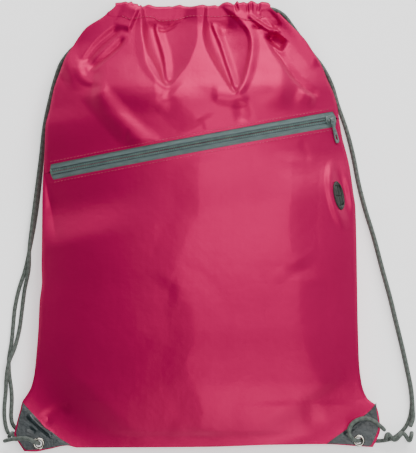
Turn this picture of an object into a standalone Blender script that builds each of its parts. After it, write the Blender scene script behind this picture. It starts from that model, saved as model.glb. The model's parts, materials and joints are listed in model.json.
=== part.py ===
"""Drawstring backpack lying on its back: panels, zip pocket, cable port, corners, eyelets and cords.

The bag rests on the plane z = 0 with its front up. +Y points to the mouth and +X to the right as
the front is looked at. Lengths are in metres; MM turns millimetres into metres.
"""
import math

import bmesh
import bpy
import numpy as np
from mathutils import Matrix, Vector

MM = 0.001

# Cloth and seams
CLOTH = 1.0 * MM                 # wall of a panel, coated cloth with its hems
PATCH = 0.8 * MM                 # synthetic leather of the corner patches
GAP = 0.3 * MM                   # clearance kept between neighbouring solids

# Zip pocket: the chain lies on one circle in an upright plane
ZIP_MIDDLE = Vector((-5 * MM, 75.25 * MM, 0))
ZIP_HEADING = math.radians(10.65)
ZIP_RADIUS = 250.4 * MM
ZIP_CROWN = 62 * MM
ZIP_LEFT_END = -133 * MM         # along the chain from its middle
ZIP_RIGHT_END = 135.5 * MM
ZIP_REACH = 139 * MM             # the cloth follows the chain's circle this far
TAPE_EDGE = 7.75 * MM            # half the width of the whole zip
TAPE_THICKNESS = 0.6 * MM
COIL_INNER = 0.75 * MM
COIL_OUTER = 2.9 * MM
COIL_HEIGHT = 2.0 * MM
STOP_LENGTH = 1.5 * MM
SLIDER_LENGTH = 9 * MM
SLIDER_REST = 129.3 * MM         # closed position along the chain
SLIDER_HALF_WIDTH = 4.3 * MM
PULL_LENGTH = 23 * MM
PULL_WIDTH = 4.2 * MM
PULL_THICKNESS = 1.2 * MM
PULL_SWIVEL = math.radians(9)    # the pull hangs this far off square to the chain
BAIL_HEIGHT = 4.7 * MM           # bail bar above the chain's middle

# Cable port
PORT_ACROSS = 0.905              # place on the front, across from -1 to 1
PORT_ALONG = 16.5 * MM            # and up the bag
PORT_TURN = math.radians(5.7)
PORT_HALF_WIDTH = 6.5 * MM
PORT_HALF_LENGTH = 13.5 * MM
PORT_THICKNESS = 2.4 * MM
PORT_WINDOW = (4.1 * MM, 9.4 * MM)
FLAP_THICKNESS = 1.0 * MM
FLAP_SLIT = 0.4 * MM             # open cross between the four flaps

# Corners
CORNER_BASE = 8.6 * MM           # underside of the back patch above the ground
EYELET_LEFT = Vector((-147.5 * MM, -201.4 * MM, 0))
EYELET_RIGHT = Vector((150.3 * MM, -198.8 * MM, 0))
EYELET_BORE = 3.2 * MM
EYELET_BARREL = 3.7 * MM
EYELET_FLANGE = 5.5 * MM
EYELET_PLATE = 0.9 * MM

# Cord channels and cords
CORD_DIAMETER = 4 * MM
CHANNEL_ENDS = (-64 * MM, 58 * MM)
CHANNEL_MIDDLE = 200.6 * MM
CHANNEL_OUTER = (7.4 * MM, 3.6 * MM)
CHANNEL_WALL = 1.1 * MM
FRONT_CHANNEL_Z = 22 * MM
BACK_CHANNEL_Z = 4.8 * MM
CORD_POINTS = 84

# Stations from the bottom seam to the hem: left x, left y, right x, right y, seam height,
# crown height, squareness of the front, lift of the back panel's edge (all lengths in mm)
STATIONS = (
    (-161.0, -208.4, 163.3, -205.0, 12.0, 12.0, 2.2, 9.7),
    (-169.4, -197.0, 168.8, -194.0, 12.0, 19.0, 2.2, 9.7),
    (-170.2, -190.0, 170.2, -186.0, 12.0, 25.0, 2.3, 9.7),
    (-163.5, -163.0, 167.6, -163.5, 12.0, 41.0, 2.6, 9.7),
    (-152.8, -142.0, 152.4, -142.0, 15.0, 50.0, 3.0, 12.7),
    (-147.3, -94.0, 149.0, -88.0, 18.0, 62.0, 3.6, 15.7),
    (-144.0, -20.0, 147.6, -8.0, 19.0, 67.0, 5.0, 16.7),
    (-143.3, 49.3, 131.8, 101.0, 19.0, 62.0, 2.2, 16.7),
    (-138.5, 100.0, 124.0, 128.0, 19.5, 56.0, 2.1, 6.0),
    (-130.0, 135.0, 115.0, 150.5, 20.0, 49.0, 2.0, 1.5),
    (-116.4, 166.3, 100.1, 173.7, 22.0, 37.0, 2.0, 0.8),
    (-92.0, 192.0, 81.5, 192.0, 23.5, 26.5, 2.0, 0.3),
)
SEAM_FLAT = 0.78                 # the back panel lies flat inside this share of its width
FRONT_COLUMNS = 26
FRONT_ROWS = 28
LINING_SPAN = 0.8                # share of the front's width behind which the pocket hangs
LINING_FOOT = -118 * MM          # how far down the pocket reaches
LINING_BELOW_ZIP = 10.5 * MM     # its top edge below the chain's middle
LINING_DEPTH = 0.72              # its height as a share of the front's
LINING_WALL = 0.6 * MM


def smoothstep(value, low, high):
    """Ease from 0 at low to 1 at high."""
    share = np.clip((value - low) / (high - low), 0.0, 1.0)
    return share * share * (3 - 2 * share)


def through(knots, values, where, monotone):
    """Smooth curve through values at knots, read at where; monotone keeps flat runs flat."""
    knots = np.asarray(knots, float)
    values = np.asarray(values, float)
    steps = np.diff(knots)
    secants = np.diff(values, axis=0) / steps[:, None]
    slopes = np.gradient(values, knots, axis=0)
    if monotone:
        before, after = secants[:-1], secants[1:]
        total = np.where(before + after == 0, 1.0, before + after)
        slopes[1:-1] = np.where(before * after > 0, 2 * before * after / total, 0.0)
    where = np.asarray(where, float)
    index = np.clip(np.searchsorted(knots, where, side="right") - 1, 0, len(steps) - 1)
    step = steps[index][:, None]
    share = ((where - knots[index]) / steps[index])[:, None]
    rise = 3 * share**2 - 2 * share**3
    lead = share**3 - 2 * share**2 + share
    trail = share**3 - share**2
    start, end = values[index], values[index + 1]
    return start + (end - start) * rise + step * (slopes[index] * lead + slopes[index + 1] * trail)


STATION_TABLE = np.array(STATIONS)
STATION_KNOTS = (STATION_TABLE[:, 1] + STATION_TABLE[:, 3]) / 2 * MM


def station(along):
    """The row of outline and height values at a height up the bag, in metres."""
    row = through(STATION_KNOTS, STATION_TABLE, [along], True)[0]
    row[:6] *= MM
    row[7] *= MM
    return row


def along_zip(x, y):
    """Distance along the chain from its middle, and square to it towards the mouth."""
    dx = x - ZIP_MIDDLE.x
    dy = y - ZIP_MIDDLE.y
    forward = dx * math.cos(ZIP_HEADING) + dy * math.sin(ZIP_HEADING)
    aside = dy * math.cos(ZIP_HEADING) - dx * math.sin(ZIP_HEADING)
    return forward, aside


def zip_height(forward):
    """Height of the chain's middle at a distance along it."""
    return ZIP_CROWN - ZIP_RADIUS + math.sqrt(ZIP_RADIUS**2 - min(abs(forward), ZIP_REACH)**2)


def corner_distance(x, y):
    """How far a point lies inside the nearer corner patch's long edge."""
    left = Vector((x + 162.8 * MM, y + 161.6 * MM)).dot(Vector((0.677, 0.736)))
    right = Vector((x - 167.5 * MM, y + 164.0 * MM)).dot(Vector((-0.616, 0.788)))
    return min(left, right)


def front_point(across, along):
    """A point on the front's outer face."""
    row = station(along)
    side = (across + 1) / 2
    x = row[0] + (row[2] - row[0]) * side
    y = row[1] + (row[3] - row[1]) * side
    seam, crown, squareness = row[4], row[5], row[6]
    swell = (1 - abs(across)**squareness) * smoothstep(corner_distance(x, y), 0, 55 * MM)
    height = seam + (crown - seam) * swell
    forward, aside = along_zip(x, y)
    near_zip = 1 - smoothstep(abs(aside), 27 * MM, 70 * MM)
    height += (zip_height(forward) + 0.5 * MM - height) * near_zip
    return Vector((x, y, height))


def back_point(across, along):
    """A point on the back's outer face: flat on the ground, lifted to the seams."""
    row = station(along)
    side = (across + 1) / 2
    x = row[0] + (row[2] - row[0]) * side
    y = row[1] + (row[3] - row[1]) * side
    edge = max(0.0, (abs(across) - SEAM_FLAT) / (1 - SEAM_FLAT))**1.5
    foot = 1 - smoothstep(along, STATION_KNOTS[0] + 2 * MM, STATION_KNOTS[0] + 30 * MM)
    corner = 1 - smoothstep(corner_distance(x, y), 0, 45 * MM)
    lift = row[7] * max(edge, foot, corner)
    return Vector((x, y, lift))


def new_object(name, mesh, colour, roughness, metallic=0.0):
    """Put a mesh in the scene under a name, with a material of its own."""
    material = bpy.data.materials.new(name)
    material.use_nodes = True
    shader = material.node_tree.nodes["Principled BSDF"]
    shader.inputs["Base Color"].default_value = (*colour, 1)
    shader.inputs["Roughness"].default_value = roughness
    shader.inputs["Metallic"].default_value = metallic
    mesh.materials.append(material)
    item = bpy.data.objects.new(name, mesh)
    bpy.context.scene.collection.objects.link(item)
    return item


CLOTH_COLOUR = (0.44, 0.03, 0.09)
LINING_COLOUR = (0.30, 0.02, 0.06)
LEATHER_COLOUR = (0.03, 0.045, 0.05)
TAPE_COLOUR = (0.13, 0.17, 0.17)
COIL_COLOUR = (0.035, 0.06, 0.06)
RUBBER_COLOUR = (0.012, 0.018, 0.015)
METAL_COLOUR = (0.75, 0.75, 0.72)
CORD_COLOUR = (0.11, 0.13, 0.12)


def from_points(name, rows, closed_rows, colour, roughness, metallic=0.0, smooth=True):
    """Skin a list of equal rings of points, closing each ring, with filled ends."""
    mesh = bpy.data.meshes.new(name)
    work = bmesh.new()
    rings = [[work.verts.new(point) for point in row] for row in rows]
    count = len(rings[0])
    for first, second in zip(rings, rings[1:]):
        for i in range(count):
            j = (i + 1) % count
            work.faces.new((first[i], first[j], second[j], second[i]))
    if closed_rows:
        for i in range(count):
            j = (i + 1) % count
            work.faces.new((rings[-1][i], rings[-1][j], rings[0][j], rings[0][i]))
    else:
        work.faces.new(rings[0])
        work.faces.new(list(reversed(rings[-1])))
    bmesh.ops.recalc_face_normals(work, faces=work.faces)
    work.to_mesh(mesh)
    work.free()
    item = new_object(name, mesh, colour, roughness, metallic)
    if smooth:
        mesh.shade_smooth()
        mesh.set_sharp_from_angle(angle=math.radians(35))
    return item


def sheet(name, outer, wall, columns, rows, colour, roughness):
    """A thin panel: outer(i, j) gives its upper points, and wall its thickness downwards."""
    mesh = bpy.data.meshes.new(name)
    work = bmesh.new()
    grid = {}
    for i in range(columns + 1):
        for j in range(rows + 1):
            top = outer(i, j)
            grid[i, j, 0] = work.verts.new(top)
            grid[i, j, 1] = work.verts.new(top - Vector((0, 0, wall)))
    for i in range(columns):
        for j in range(rows):
            corners = ((i, j), (i + 1, j), (i + 1, j + 1), (i, j + 1))
            work.faces.new([grid[c[0], c[1], 0] for c in corners])
            work.faces.new([grid[c[0], c[1], 1] for c in reversed(corners)])
    rim = [(i, 0) for i in range(columns)]
    rim += [(columns, j) for j in range(rows)]
    rim += [(i, rows) for i in range(columns, 0, -1)]
    rim += [(0, j) for j in range(rows, 0, -1)]
    for here, there in zip(rim, rim[1:] + rim[:1]):
        work.faces.new([grid[here[0], here[1], 0], grid[here[0], here[1], 1],
                        grid[there[0], there[1], 1], grid[there[0], there[1], 0]])
    bmesh.ops.recalc_face_normals(work, faces=work.faces)
    work.to_mesh(mesh)
    work.free()
    mesh.shade_smooth()
    mesh.set_sharp_from_angle(angle=math.radians(40))
    return new_object(name, mesh, colour, roughness)


def slab(name, outline, low, high, frame, colour=CLOTH_COLOUR, roughness=0.6, metallic=0.0):
    """A flat plate: an outline in a frame's X and Y, from low to high along its Z."""
    rows = [[frame @ Vector((x, y, z)) for x, y in outline] for z in (low, high)]
    return from_points(name, rows, False, colour, roughness, metallic, smooth=False)


def oval(half_width, half_length, sides):
    """Points round an oval."""
    turns = [2 * math.pi * i / sides for i in range(sides)]
    return [(half_width * math.cos(a), half_length * math.sin(a)) for a in turns]


def rounded_box(half_width, half_height, radius, steps=3):
    """Points round a rectangle with round corners."""
    points = []
    for turn, sx, sy in ((0, 1, 1), (1, -1, 1), (2, -1, -1), (3, 1, -1)):
        for k in range(steps + 1):
            angle = (turn + k / steps) * math.pi / 2
            points.append((sx * (half_width - radius) + radius * math.cos(angle),
                           sy * (half_height - radius) + radius * math.sin(angle)))
    return points


def cut(item, cutter):
    """Take a cutter's shape out of an object."""
    cutter.hide_render = True
    cutter.display_type = "WIRE"
    modifier = item.modifiers.new(cutter.name, "BOOLEAN")
    modifier.operation = "DIFFERENCE"
    modifier.object = cutter


def unite(item, other):
    """Join another shape to an object as one body."""
    other.hide_render = True
    other.display_type = "WIRE"
    modifier = item.modifiers.new(other.name, "BOOLEAN")
    modifier.operation = "UNION"
    modifier.object = other


def zip_frame(forward):
    """Frame on the chain: X along it, Y square to it towards the mouth, Z out of the bag."""
    angle = math.asin(forward / ZIP_RADIUS)
    heading = Matrix.Rotation(ZIP_HEADING, 4, "Z")
    tilt = Matrix.Rotation(angle, 4, "Y")
    centre = Vector((ZIP_MIDDLE.x, ZIP_MIDDLE.y, ZIP_CROWN - ZIP_RADIUS))
    return Matrix.Translation(centre) @ heading @ tilt @ Matrix.Translation((0, 0, ZIP_RADIUS))


def zip_sweep(name, profile, start, end, steps, colour, roughness, metallic=0.0):
    """Carry a profile of (square to the chain, out of the bag) points along the chain."""
    rows = []
    for i in range(steps + 1):
        frame = zip_frame(start + (end - start) * i / steps)
        rows.append([frame @ Vector((0, side, out)) for side, out in profile])
    return from_points(name, rows, False, colour, roughness, metallic, smooth=False)


def box_profile(near, far, low, high):
    """Four corners of a rectangle."""
    return [(near, low), (far, low), (far, high), (near, high)]


def plan_prism(name, outline, low, high):
    """An upright prism whose outline is given along and square to the zip."""
    frame = Matrix.Translation(ZIP_MIDDLE) @ Matrix.Rotation(ZIP_HEADING, 4, "Z")
    return slab(name, outline, low, high, frame)


def eyelet_cutter(name, centre, radius):
    """An upright round cutter through a corner."""
    return slab(name, oval(radius, radius, 20), 0, 40 * MM, Matrix.Translation(centre))


def port_frame():
    """Frame of the cable port: X down the slope, Y up the bag, Z out of the cloth."""
    here = front_point(PORT_ACROSS, PORT_ALONG)
    beside = front_point(PORT_ACROSS + 0.02, PORT_ALONG) - front_point(PORT_ACROSS - 0.02, PORT_ALONG)
    above = front_point(PORT_ACROSS, PORT_ALONG + 4 * MM) - front_point(PORT_ACROSS, PORT_ALONG - 4 * MM)
    out = beside.cross(above).normalized()
    up = (above - out * above.dot(out)).normalized()
    sideways = up.cross(out)
    axes = Matrix((sideways, up, out)).transposed().to_4x4()
    return Matrix.Translation(here) @ axes @ Matrix.Rotation(PORT_TURN, 4, "Z")


def make_panels():
    """The back, and the front in its two pieces above and below the zip."""
    low, high = STATION_KNOTS[0], STATION_KNOTS[-1]

    def place(i, j):
        across = math.sin((i / FRONT_COLUMNS - 0.5) * math.pi)
        return across, low + (high - low) * j / FRONT_ROWS

    def back_top(i, j):
        return back_point(*place(i, j)) + Vector((0, 0, CLOTH))

    holes = [eyelet_cutter("hole_left", EYELET_LEFT, EYELET_BARREL + GAP),
             eyelet_cutter("hole_right", EYELET_RIGHT, EYELET_BARREL + GAP)]
    back = sheet("back_panel", back_top, CLOTH, FRONT_COLUMNS, FRONT_ROWS, CLOTH_COLOUR, 0.6)
    for hole in holes:
        cut(back, hole)
    edge = TAPE_EDGE + GAP
    left, right, far = ZIP_LEFT_END - GAP, ZIP_RIGHT_END + GAP, 260 * MM
    for name, side in (("front_lower_panel", 1), ("front_upper_panel", -1)):
        panel = sheet(name, lambda i, j: front_point(*place(i, j)), CLOTH,
                      FRONT_COLUMNS, FRONT_ROWS, CLOTH_COLOUR, 0.6)
        step = ((-far, -GAP / 2), (left, -GAP / 2), (left, -edge), (right, -edge),
                (right, -GAP / 2), (far, -GAP / 2), (far, 400 * MM), (-far, 400 * MM))
        outline = [(x, y * side) for x, y in step]
        cut(panel, plan_prism("split_" + name, outline, -10 * MM, 120 * MM))
        if side == 1:
            for hole in holes:
                cut(panel, hole)
            socket = oval(PORT_HALF_WIDTH + GAP, PORT_HALF_LENGTH + GAP, 28)
            cut(panel, slab("port_socket", socket, -8 * MM, 8 * MM, port_frame()))


def make_lining():
    """The front pocket's inner wall, hung behind the front below the zip."""
    columns, rows = 14, 12

    def place(i, j):
        across = LINING_SPAN * (2 * i / columns - 1)
        top = ZIP_MIDDLE.y
        for _ in range(40):
            here = front_point(across, top)
            top += (-LINING_BELOW_ZIP - along_zip(here.x, here.y)[1]) * 0.6
        point = front_point(across, LINING_FOOT + (top - LINING_FOOT) * j / rows)
        aside = -along_zip(point.x, point.y)[1]
        deep = smoothstep(aside, 12 * MM, 60 * MM)
        full = point.z * LINING_DEPTH + 2 * MM
        near = point.z - 3.6 * MM
        return Vector((point.x, point.y, near + (full - near) * deep))

    sheet("pocket_lining", place, LINING_WALL, columns, rows, LINING_COLOUR, 0.6)


def make_channels():
    """The two hems that the cords run through, front and back."""
    half_width, half_height = CHANNEL_OUTER
    outer = rounded_box(half_width, half_height, 2.2 * MM)
    inner = rounded_box(half_width - CHANNEL_WALL, half_height - CHANNEL_WALL, 1.3 * MM)
    for name, height in (("front_cord_channel", FRONT_CHANNEL_Z), ("back_cord_channel", BACK_CHANNEL_Z)):
        rows = []
        for ring, ends in ((outer, CHANNEL_ENDS), (inner, CHANNEL_ENDS[::-1])):
            for x in ends:
                rows.append([Vector((x, CHANNEL_MIDDLE + y, height + z)) for y, z in ring])
        from_points(name, rows, True, CLOTH_COLOUR, 0.6)


def make_zip():
    """Tapes, coils and end stops."""
    steps = 44
    start, end = ZIP_LEFT_END, ZIP_RIGHT_END
    half_tape, half_coil = TAPE_THICKNESS / 2, COIL_HEIGHT / 2
    for name, side in (("zipper_lower", -1), ("zipper_upper", 1)):
        tape = box_profile(side * (COIL_OUTER + GAP), side * TAPE_EDGE, -half_tape, half_tape)
        zip_sweep(name + "_tape", tape, start, end, steps, TAPE_COLOUR, 0.8)
        coil = box_profile(side * COIL_INNER, side * COIL_OUTER, -half_coil, half_coil)
        room = STOP_LENGTH + GAP
        zip_sweep(name + "_coil", coil, start + room, end - room, steps, COIL_COLOUR, 0.5)
    stop = box_profile(-COIL_OUTER, COIL_OUTER, -half_coil, half_coil)
    zip_sweep("zipper_left_stop", stop, start, start + STOP_LENGTH, 1, COIL_COLOUR, 0.4)
    zip_sweep("zipper_right_stop", stop, end - STOP_LENGTH, end, 1, COIL_COLOUR, 0.4)


def make_slider():
    """The slider: two plates joined by a post, folded edges and a bail over the top plate."""
    frame = zip_frame(SLIDER_REST)
    half = SLIDER_LENGTH / 2
    wide, narrow = SLIDER_HALF_WIDTH, 3.3 * MM
    plate = [(-half, -narrow), (-half + 1 * MM, -narrow - 0.3 * MM), (half - 2 * MM, -wide),
             (half, -wide + 0.9 * MM), (half, wide - 0.9 * MM), (half - 2 * MM, wide),
             (-half + 1 * MM, narrow + 0.3 * MM), (-half, narrow)]
    inside = COIL_HEIGHT / 2 + GAP
    outside = inside + 0.9 * MM
    slider = slab("zipper_slider", plate, inside, outside, frame, TAPE_COLOUR, 0.35, 0.3)
    unite(slider, slab("slider_lower_plate", plate, -outside, -inside, frame))
    post = [(half - 3.2 * MM, -0.4 * MM), (half - 1.2 * MM, -0.4 * MM),
            (half - 1.2 * MM, 0.4 * MM), (half - 3.2 * MM, 0.4 * MM)]
    unite(slider, slab("slider_post", post, -inside - 0.5 * MM, inside + 0.5 * MM, frame))
    for name, side in (("upper", 1), ("lower", -1)):
        for level in (1, -1):
            flange = [(-half + 1.2 * MM, side * 3.3 * MM), (half - 2.2 * MM, side * 3.3 * MM),
                      (half - 2.2 * MM, side * 4.1 * MM), (-half + 1.2 * MM, side * 3.6 * MM)]
            near, far = sorted((level * 0.65 * MM, level * (inside + 0.4 * MM)))
            label = "slider_flange_%s_%d" % (name, level)
            unite(slider, slab(label, flange, near, far, frame))
    bail_frame = frame @ Matrix.Rotation(PULL_SWIVEL, 4, "Z")
    bar = 0.6 * MM
    for x in (-3.3 * MM, 3.3 * MM):
        foot = [(x - bar, -bar), (x + bar, -bar), (x + bar, bar), (x - bar, bar)]
        label = "slider_bail_foot_%d" % (1 if x > 0 else 0)
        unite(slider, slab(label, foot, outside - 0.2 * MM, BAIL_HEIGHT, bail_frame))
    rows = []
    for x in (-3.9 * MM, 3.9 * MM):
        ring = oval(bar, bar, 10)
        rows.append([bail_frame @ Vector((x, y, BAIL_HEIGHT + z)) for y, z in ring])
    unite(slider, from_points("slider_bail_bar", rows, False, TAPE_COLOUR, 0.35))


def pull_frame():
    """Frame of the pull at rest: origin on the bail bar, X along the bar, Y down the pull."""
    frame = zip_frame(SLIDER_REST) @ Matrix.Rotation(PULL_SWIVEL, 4, "Z")
    droop = math.asin((BAIL_HEIGHT - 1.75 * MM) / PULL_LENGTH)
    turned = frame @ Matrix.Translation((0, 0, BAIL_HEIGHT)) @ Matrix.Rotation(math.pi, 4, "Z")
    return turned @ Matrix.Rotation(-droop, 4, "X")


def make_pull():
    """The pull: a slotted tab folded round the bail bar."""
    frame = pull_frame()
    eye_outer, eye_inner, half_eye = 1.75 * MM, 1.0 * MM, 1.9 * MM
    start, end, half = 1.4 * MM, PULL_LENGTH, PULL_WIDTH / 2
    outline = [(-half_eye, start), (half_eye, start), (half, 5 * MM), (half, end - half)]
    for k in range(1, 6):
        angle = math.pi * k / 6
        outline.append((half * math.cos(angle), end - half + half * math.sin(angle)))
    outline += [(-half, end - half), (-half, 5 * MM)]
    thick = PULL_THICKNESS / 2
    pull = slab("zipper_pull", outline, -thick, thick, frame, TAPE_COLOUR, 0.4, 0.2)
    rows = []
    for radius, ends in ((eye_outer, (-half_eye, half_eye)), (eye_inner, (half_eye, -half_eye))):
        for x in ends:
            rows.append([frame @ Vector((x, y, z)) for y, z in oval(radius, radius, 14)])
    unite(pull, from_points("pull_eye", rows, True, TAPE_COLOUR, 0.4))
    slot = [(x, y + end - 5.2 * MM) for x, y in oval(1.0 * MM, 3.0 * MM, 12)]
    cut(pull, slab("pull_slot", slot, -3 * MM, 3 * MM, frame))


def make_port():
    """The rubber cable port: an oval rim and four flaps that part along a cross slit."""
    frame = port_frame()
    half = PORT_THICKNESS / 2
    rim = slab("earphone_port_rim", oval(PORT_HALF_WIDTH, PORT_HALF_LENGTH, 28), -half, half,
               frame, RUBBER_COLOUR, 0.55)
    reach, rise = PORT_WINDOW
    window = [(-reach, -rise), (reach, -rise), (reach, rise), (-reach, rise)]
    cut(rim, slab("port_window", window, -9 * MM, 9 * MM, frame))
    for across, side in ((-1, "left"), (1, "right")):
        for along, end in ((-1, "lower"), (1, "upper")):
            far_x, far_y = across * (reach - GAP), along * (rise - GAP)
            near_x, near_y = across * FLAP_SLIT / 2, along * FLAP_SLIT / 2
            outline = [(far_x, near_y), (far_x, far_y), (near_x, far_y), (near_x, near_y)]
            name = "port_flap_%s_%s" % (end, side)
            slab(name, outline, -FLAP_THICKNESS / 2, FLAP_THICKNESS / 2, frame, RUBBER_COLOUR, 0.5)


def patch_outline(side):
    """The outline of a corner patch, kept a little inside the cloth's edge."""
    if side == "left":
        points = ((-162.0, -163.5), (-166.0, -177.0), (-167.6, -189.0), (-166.8, -195.0),
                  (-159.8, -206.0), (-150.0, -206.2), (-136.0, -205.0), (-118.5, -203.6),
                  (-130.0, -195.0), (-142.5, -186.2), (-152.5, -174.5))
    else:
        points = ((166.4, -165.3), (167.8, -177.0), (167.6, -186.5), (165.8, -194.0),
                  (161.5, -202.6), (150.0, -202.7), (136.0, -202.7), (122.0, -202.4),
                  (132.0, -193.6), (144.0, -184.6), (154.5, -175.8))
    return [(x * MM, y * MM) for x, y in points]


def make_corners():
    """Patches, eyelets and washers of both bottom corners."""
    back_top = CORNER_BASE + PATCH
    front_low = back_top + 2 * CLOTH + 3 * GAP
    level = Matrix.Identity(4)
    for side, centre in (("left", EYELET_LEFT), ("right", EYELET_RIGHT)):
        hole = bpy.data.objects["hole_" + side]
        for layer, low in (("back", CORNER_BASE), ("front", front_low)):
            name = "%s_%s_corner_patch" % (layer, side)
            patch = slab(name, patch_outline(side), low, low + PATCH, level, LEATHER_COLOUR, 0.45)
            cut(patch, hole)
        here = Matrix.Translation(centre)
        top = front_low + PATCH + GAP
        bottom = CORNER_BASE - GAP - EYELET_PLATE
        flange = oval(EYELET_FLANGE, EYELET_FLANGE, 24)
        eyelet = slab(side + "_eyelet", flange, top, top + EYELET_PLATE, here, METAL_COLOUR, 0.2, 1.0)
        barrel = oval(EYELET_BARREL, EYELET_BARREL, 20)
        unite(eyelet, slab(side + "_barrel", barrel, bottom, top + EYELET_PLATE / 2, here))
        cut(eyelet, slab(side + "_bore", oval(EYELET_BORE, EYELET_BORE, 20), 0, 40 * MM, here))
        washer = slab(side + "_eyelet_washer", flange, bottom, bottom + EYELET_PLATE, here,
                      METAL_COLOUR, 0.25, 1.0)
        cut(washer, eyelet_cutter(side + "_washer_hole", centre, EYELET_BARREL + GAP))


# The cords' routes, in mm: each from the end at its knot or tail through both channels
LEFT_CORD = (
    (-180.5, -199.6, 6.6), (-176.5, -198.4, 9.4), (-171.5, -197.2, 13.6), (-165.0, -196.4, 16.6),
    (-160.0, -196.0, 18.8), (-155.4, -197.1, 20.1), (-151.5, -199.3, 18.9), (-148.6, -200.8, 15.6),
    (-147.5, -201.4, 11.1), (-148.3, -201.0, 6.4), (-151.0, -199.6, 3.2), (-155.0, -197.3, 2.1),
    (-159.5, -194.6, 2.1),
    (-164.5, -191.4, 2.1), (-169.6, -187.6, 2.1), (-172.4, -183.6, 2.1), (-173.7, -177.5, 2.1),
    (-173.5, -170.0, 2.1), (-173.0, -160.7, 2.1), (-173.6, -151.0, 2.1), (-175.4, -137.5, 2.1),
    (-175.8, -123.6, 2.1), (-173.4, -108.0, 2.1), (-171.9, -93.0, 2.1), (-170.4, -77.1, 2.1),
    (-166.4, -58.0, 2.1), (-160.6, -39.9, 2.1), (-156.2, -19.5, 2.1), (-152.1, 1.9, 2.1),
    (-148.2, 29.7, 2.1), (-145.0, 62.2, 2.1), (-141.6, 99.4, 2.1), (-137.6, 118.0, 2.1),
    (-132.9, 136.6, 2.4), (-126.2, 153.5, 5.0), (-118.0, 163.8, 6.6), (-106.0, 173.2, 7.4),
    (-92.0, 184.0, 6.8), (-78.0, 193.2, 5.4), (-64.0, 196.8, 4.8), (-57.0, 196.9, 4.8),
    (-30.0, 196.9, 4.8),
    (10.0, 196.9, 4.8), (45.0, 196.9, 4.8), (56.0, 196.9, 4.8), (61.6, 196.9, 4.9), (67.2, 196.9, 7.3),
    (69.7, 196.9, 13.4), (67.2, 196.9, 19.5), (61.6, 196.9, 21.9), (56.0, 196.9, 22.0), (45.0, 196.9, 22.0),
    (10.0, 196.9, 22.0), (-30.0, 196.9, 22.0), (-57.0, 196.9, 22.0), (-64.0, 196.8, 21.9), (-78.0, 193.2, 18.6),
    (-92.0, 184.0, 15.2), (-106.0, 173.2, 13.0), (-118.0, 163.8, 11.2), (-126.2, 153.5, 9.4),
    (-132.7, 136.6, 6.8), (-137.5, 118.0, 6.4), (-141.6, 99.4, 6.4), (-146.2, 62.2, 6.2),
    (-150.4, 29.7, 5.8), (-154.0, 1.9, 5.8), (-156.4, -19.5, 6.4), (-157.2, -39.9, 5.6),
    (-161.0, -58.0, 2.6), (-163.5, -77.1, 2.1), (-166.0, -95.7, 2.3), (-170.4, -113.0, 4.6),
    (-175.8, -127.0, 6.4), (-178.0, -141.0, 4.8), (-178.8, -154.2, 2.1), (-180.0, -168.0, 2.1),
    (-179.8, -179.0, 2.1), (-178.0, -188.5, 2.1), (-176.1, -193.2, 2.5),
)
RIGHT_CORD = (
    (174.8, -189.4, 13.6), (170.9, -185.6, 15.0), (166.2, -181.8, 15.9), (161.2, -178.8, 16.4),
    (155.8, -177.6, 16.8), (149.9, -178.8, 16.8), (144.4, -182.3, 17.0), (141.2, -187.6, 18.2),
    (141.6, -193.5, 19.8), (145.2, -197.6, 18.9), (149.1, -198.7, 15.6), (150.3, -198.8, 11.1),
    (151.5, -198.9, 6.6), (154.8, -199.1, 3.3), (159.3, -199.4, 2.1), (166.0, -199.6, 2.1),
    (174.0, -199.2, 2.1),
    (182.0, -197.2, 2.1), (189.0, -192.4, 2.1), (194.4, -186.4, 2.1), (198.0, -178.6, 2.1),
    (199.9, -168.0, 2.1), (199.0, -151.4, 2.1), (195.4, -133.0, 2.1), (191.2, -114.0, 2.1),
    (184.5, -86.4, 2.1), (180.0, -67.8, 2.1), (172.6, -40.9, 2.1), (164.2, -9.3, 2.1),
    (155.4, 19.5, 2.1), (149.8, 42.0, 2.1), (145.4, 64.7, 2.1), (139.2, 89.6, 2.1),
    (131.6, 112.0, 2.1), (124.0, 135.6, 4.2), (115.8, 150.0, 7.4), (106.0, 162.4, 8.0),
    (96.6, 175.0, 7.8), (88.0, 187.0, 7.2), (79.8, 197.0, 6.0), (70.0, 201.9, 5.0),
    (60.0, 201.6, 4.8), (50.0, 201.6, 4.8), (20.0, 201.6, 4.8), (-25.0, 201.6, 4.8), (-62.0, 201.6, 4.8),
    (-67.6, 201.6, 4.9), (-73.2, 201.6, 7.3), (-75.7, 201.6, 13.4), (-73.2, 201.6, 19.5),
    (-67.6, 201.6, 21.9), (-62.0, 201.6, 22.0), (-25.0, 201.6, 22.0), (20.0, 201.6, 22.0),
    (50.0, 201.6, 22.0), (60.0, 201.6, 22.0), (70.0, 201.9, 21.2), (79.8, 197.0, 18.6),
    (88.0, 187.0, 15.8), (96.6, 175.0, 13.6), (106.0, 162.4, 12.2),
    (115.8, 150.0, 11.7), (124.0, 135.6, 8.6), (131.6, 112.0, 6.4), (139.4, 89.6, 6.4),
    (145.8, 64.7, 6.4), (150.2, 42.0, 6.4), (155.9, 19.5, 6.4), (164.7, -9.3, 6.4),
    (173.1, -40.9, 6.4), (180.5, -67.8, 6.4), (185.0, -86.4, 6.4), (191.7, -114.0, 6.4),
    (195.9, -133.0, 6.4), (199.5, -151.4, 6.4), (200.8, -168.0, 6.4), (201.0, -179.0, 6.6),
    (198.4, -186.2, 8.4),
)


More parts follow.
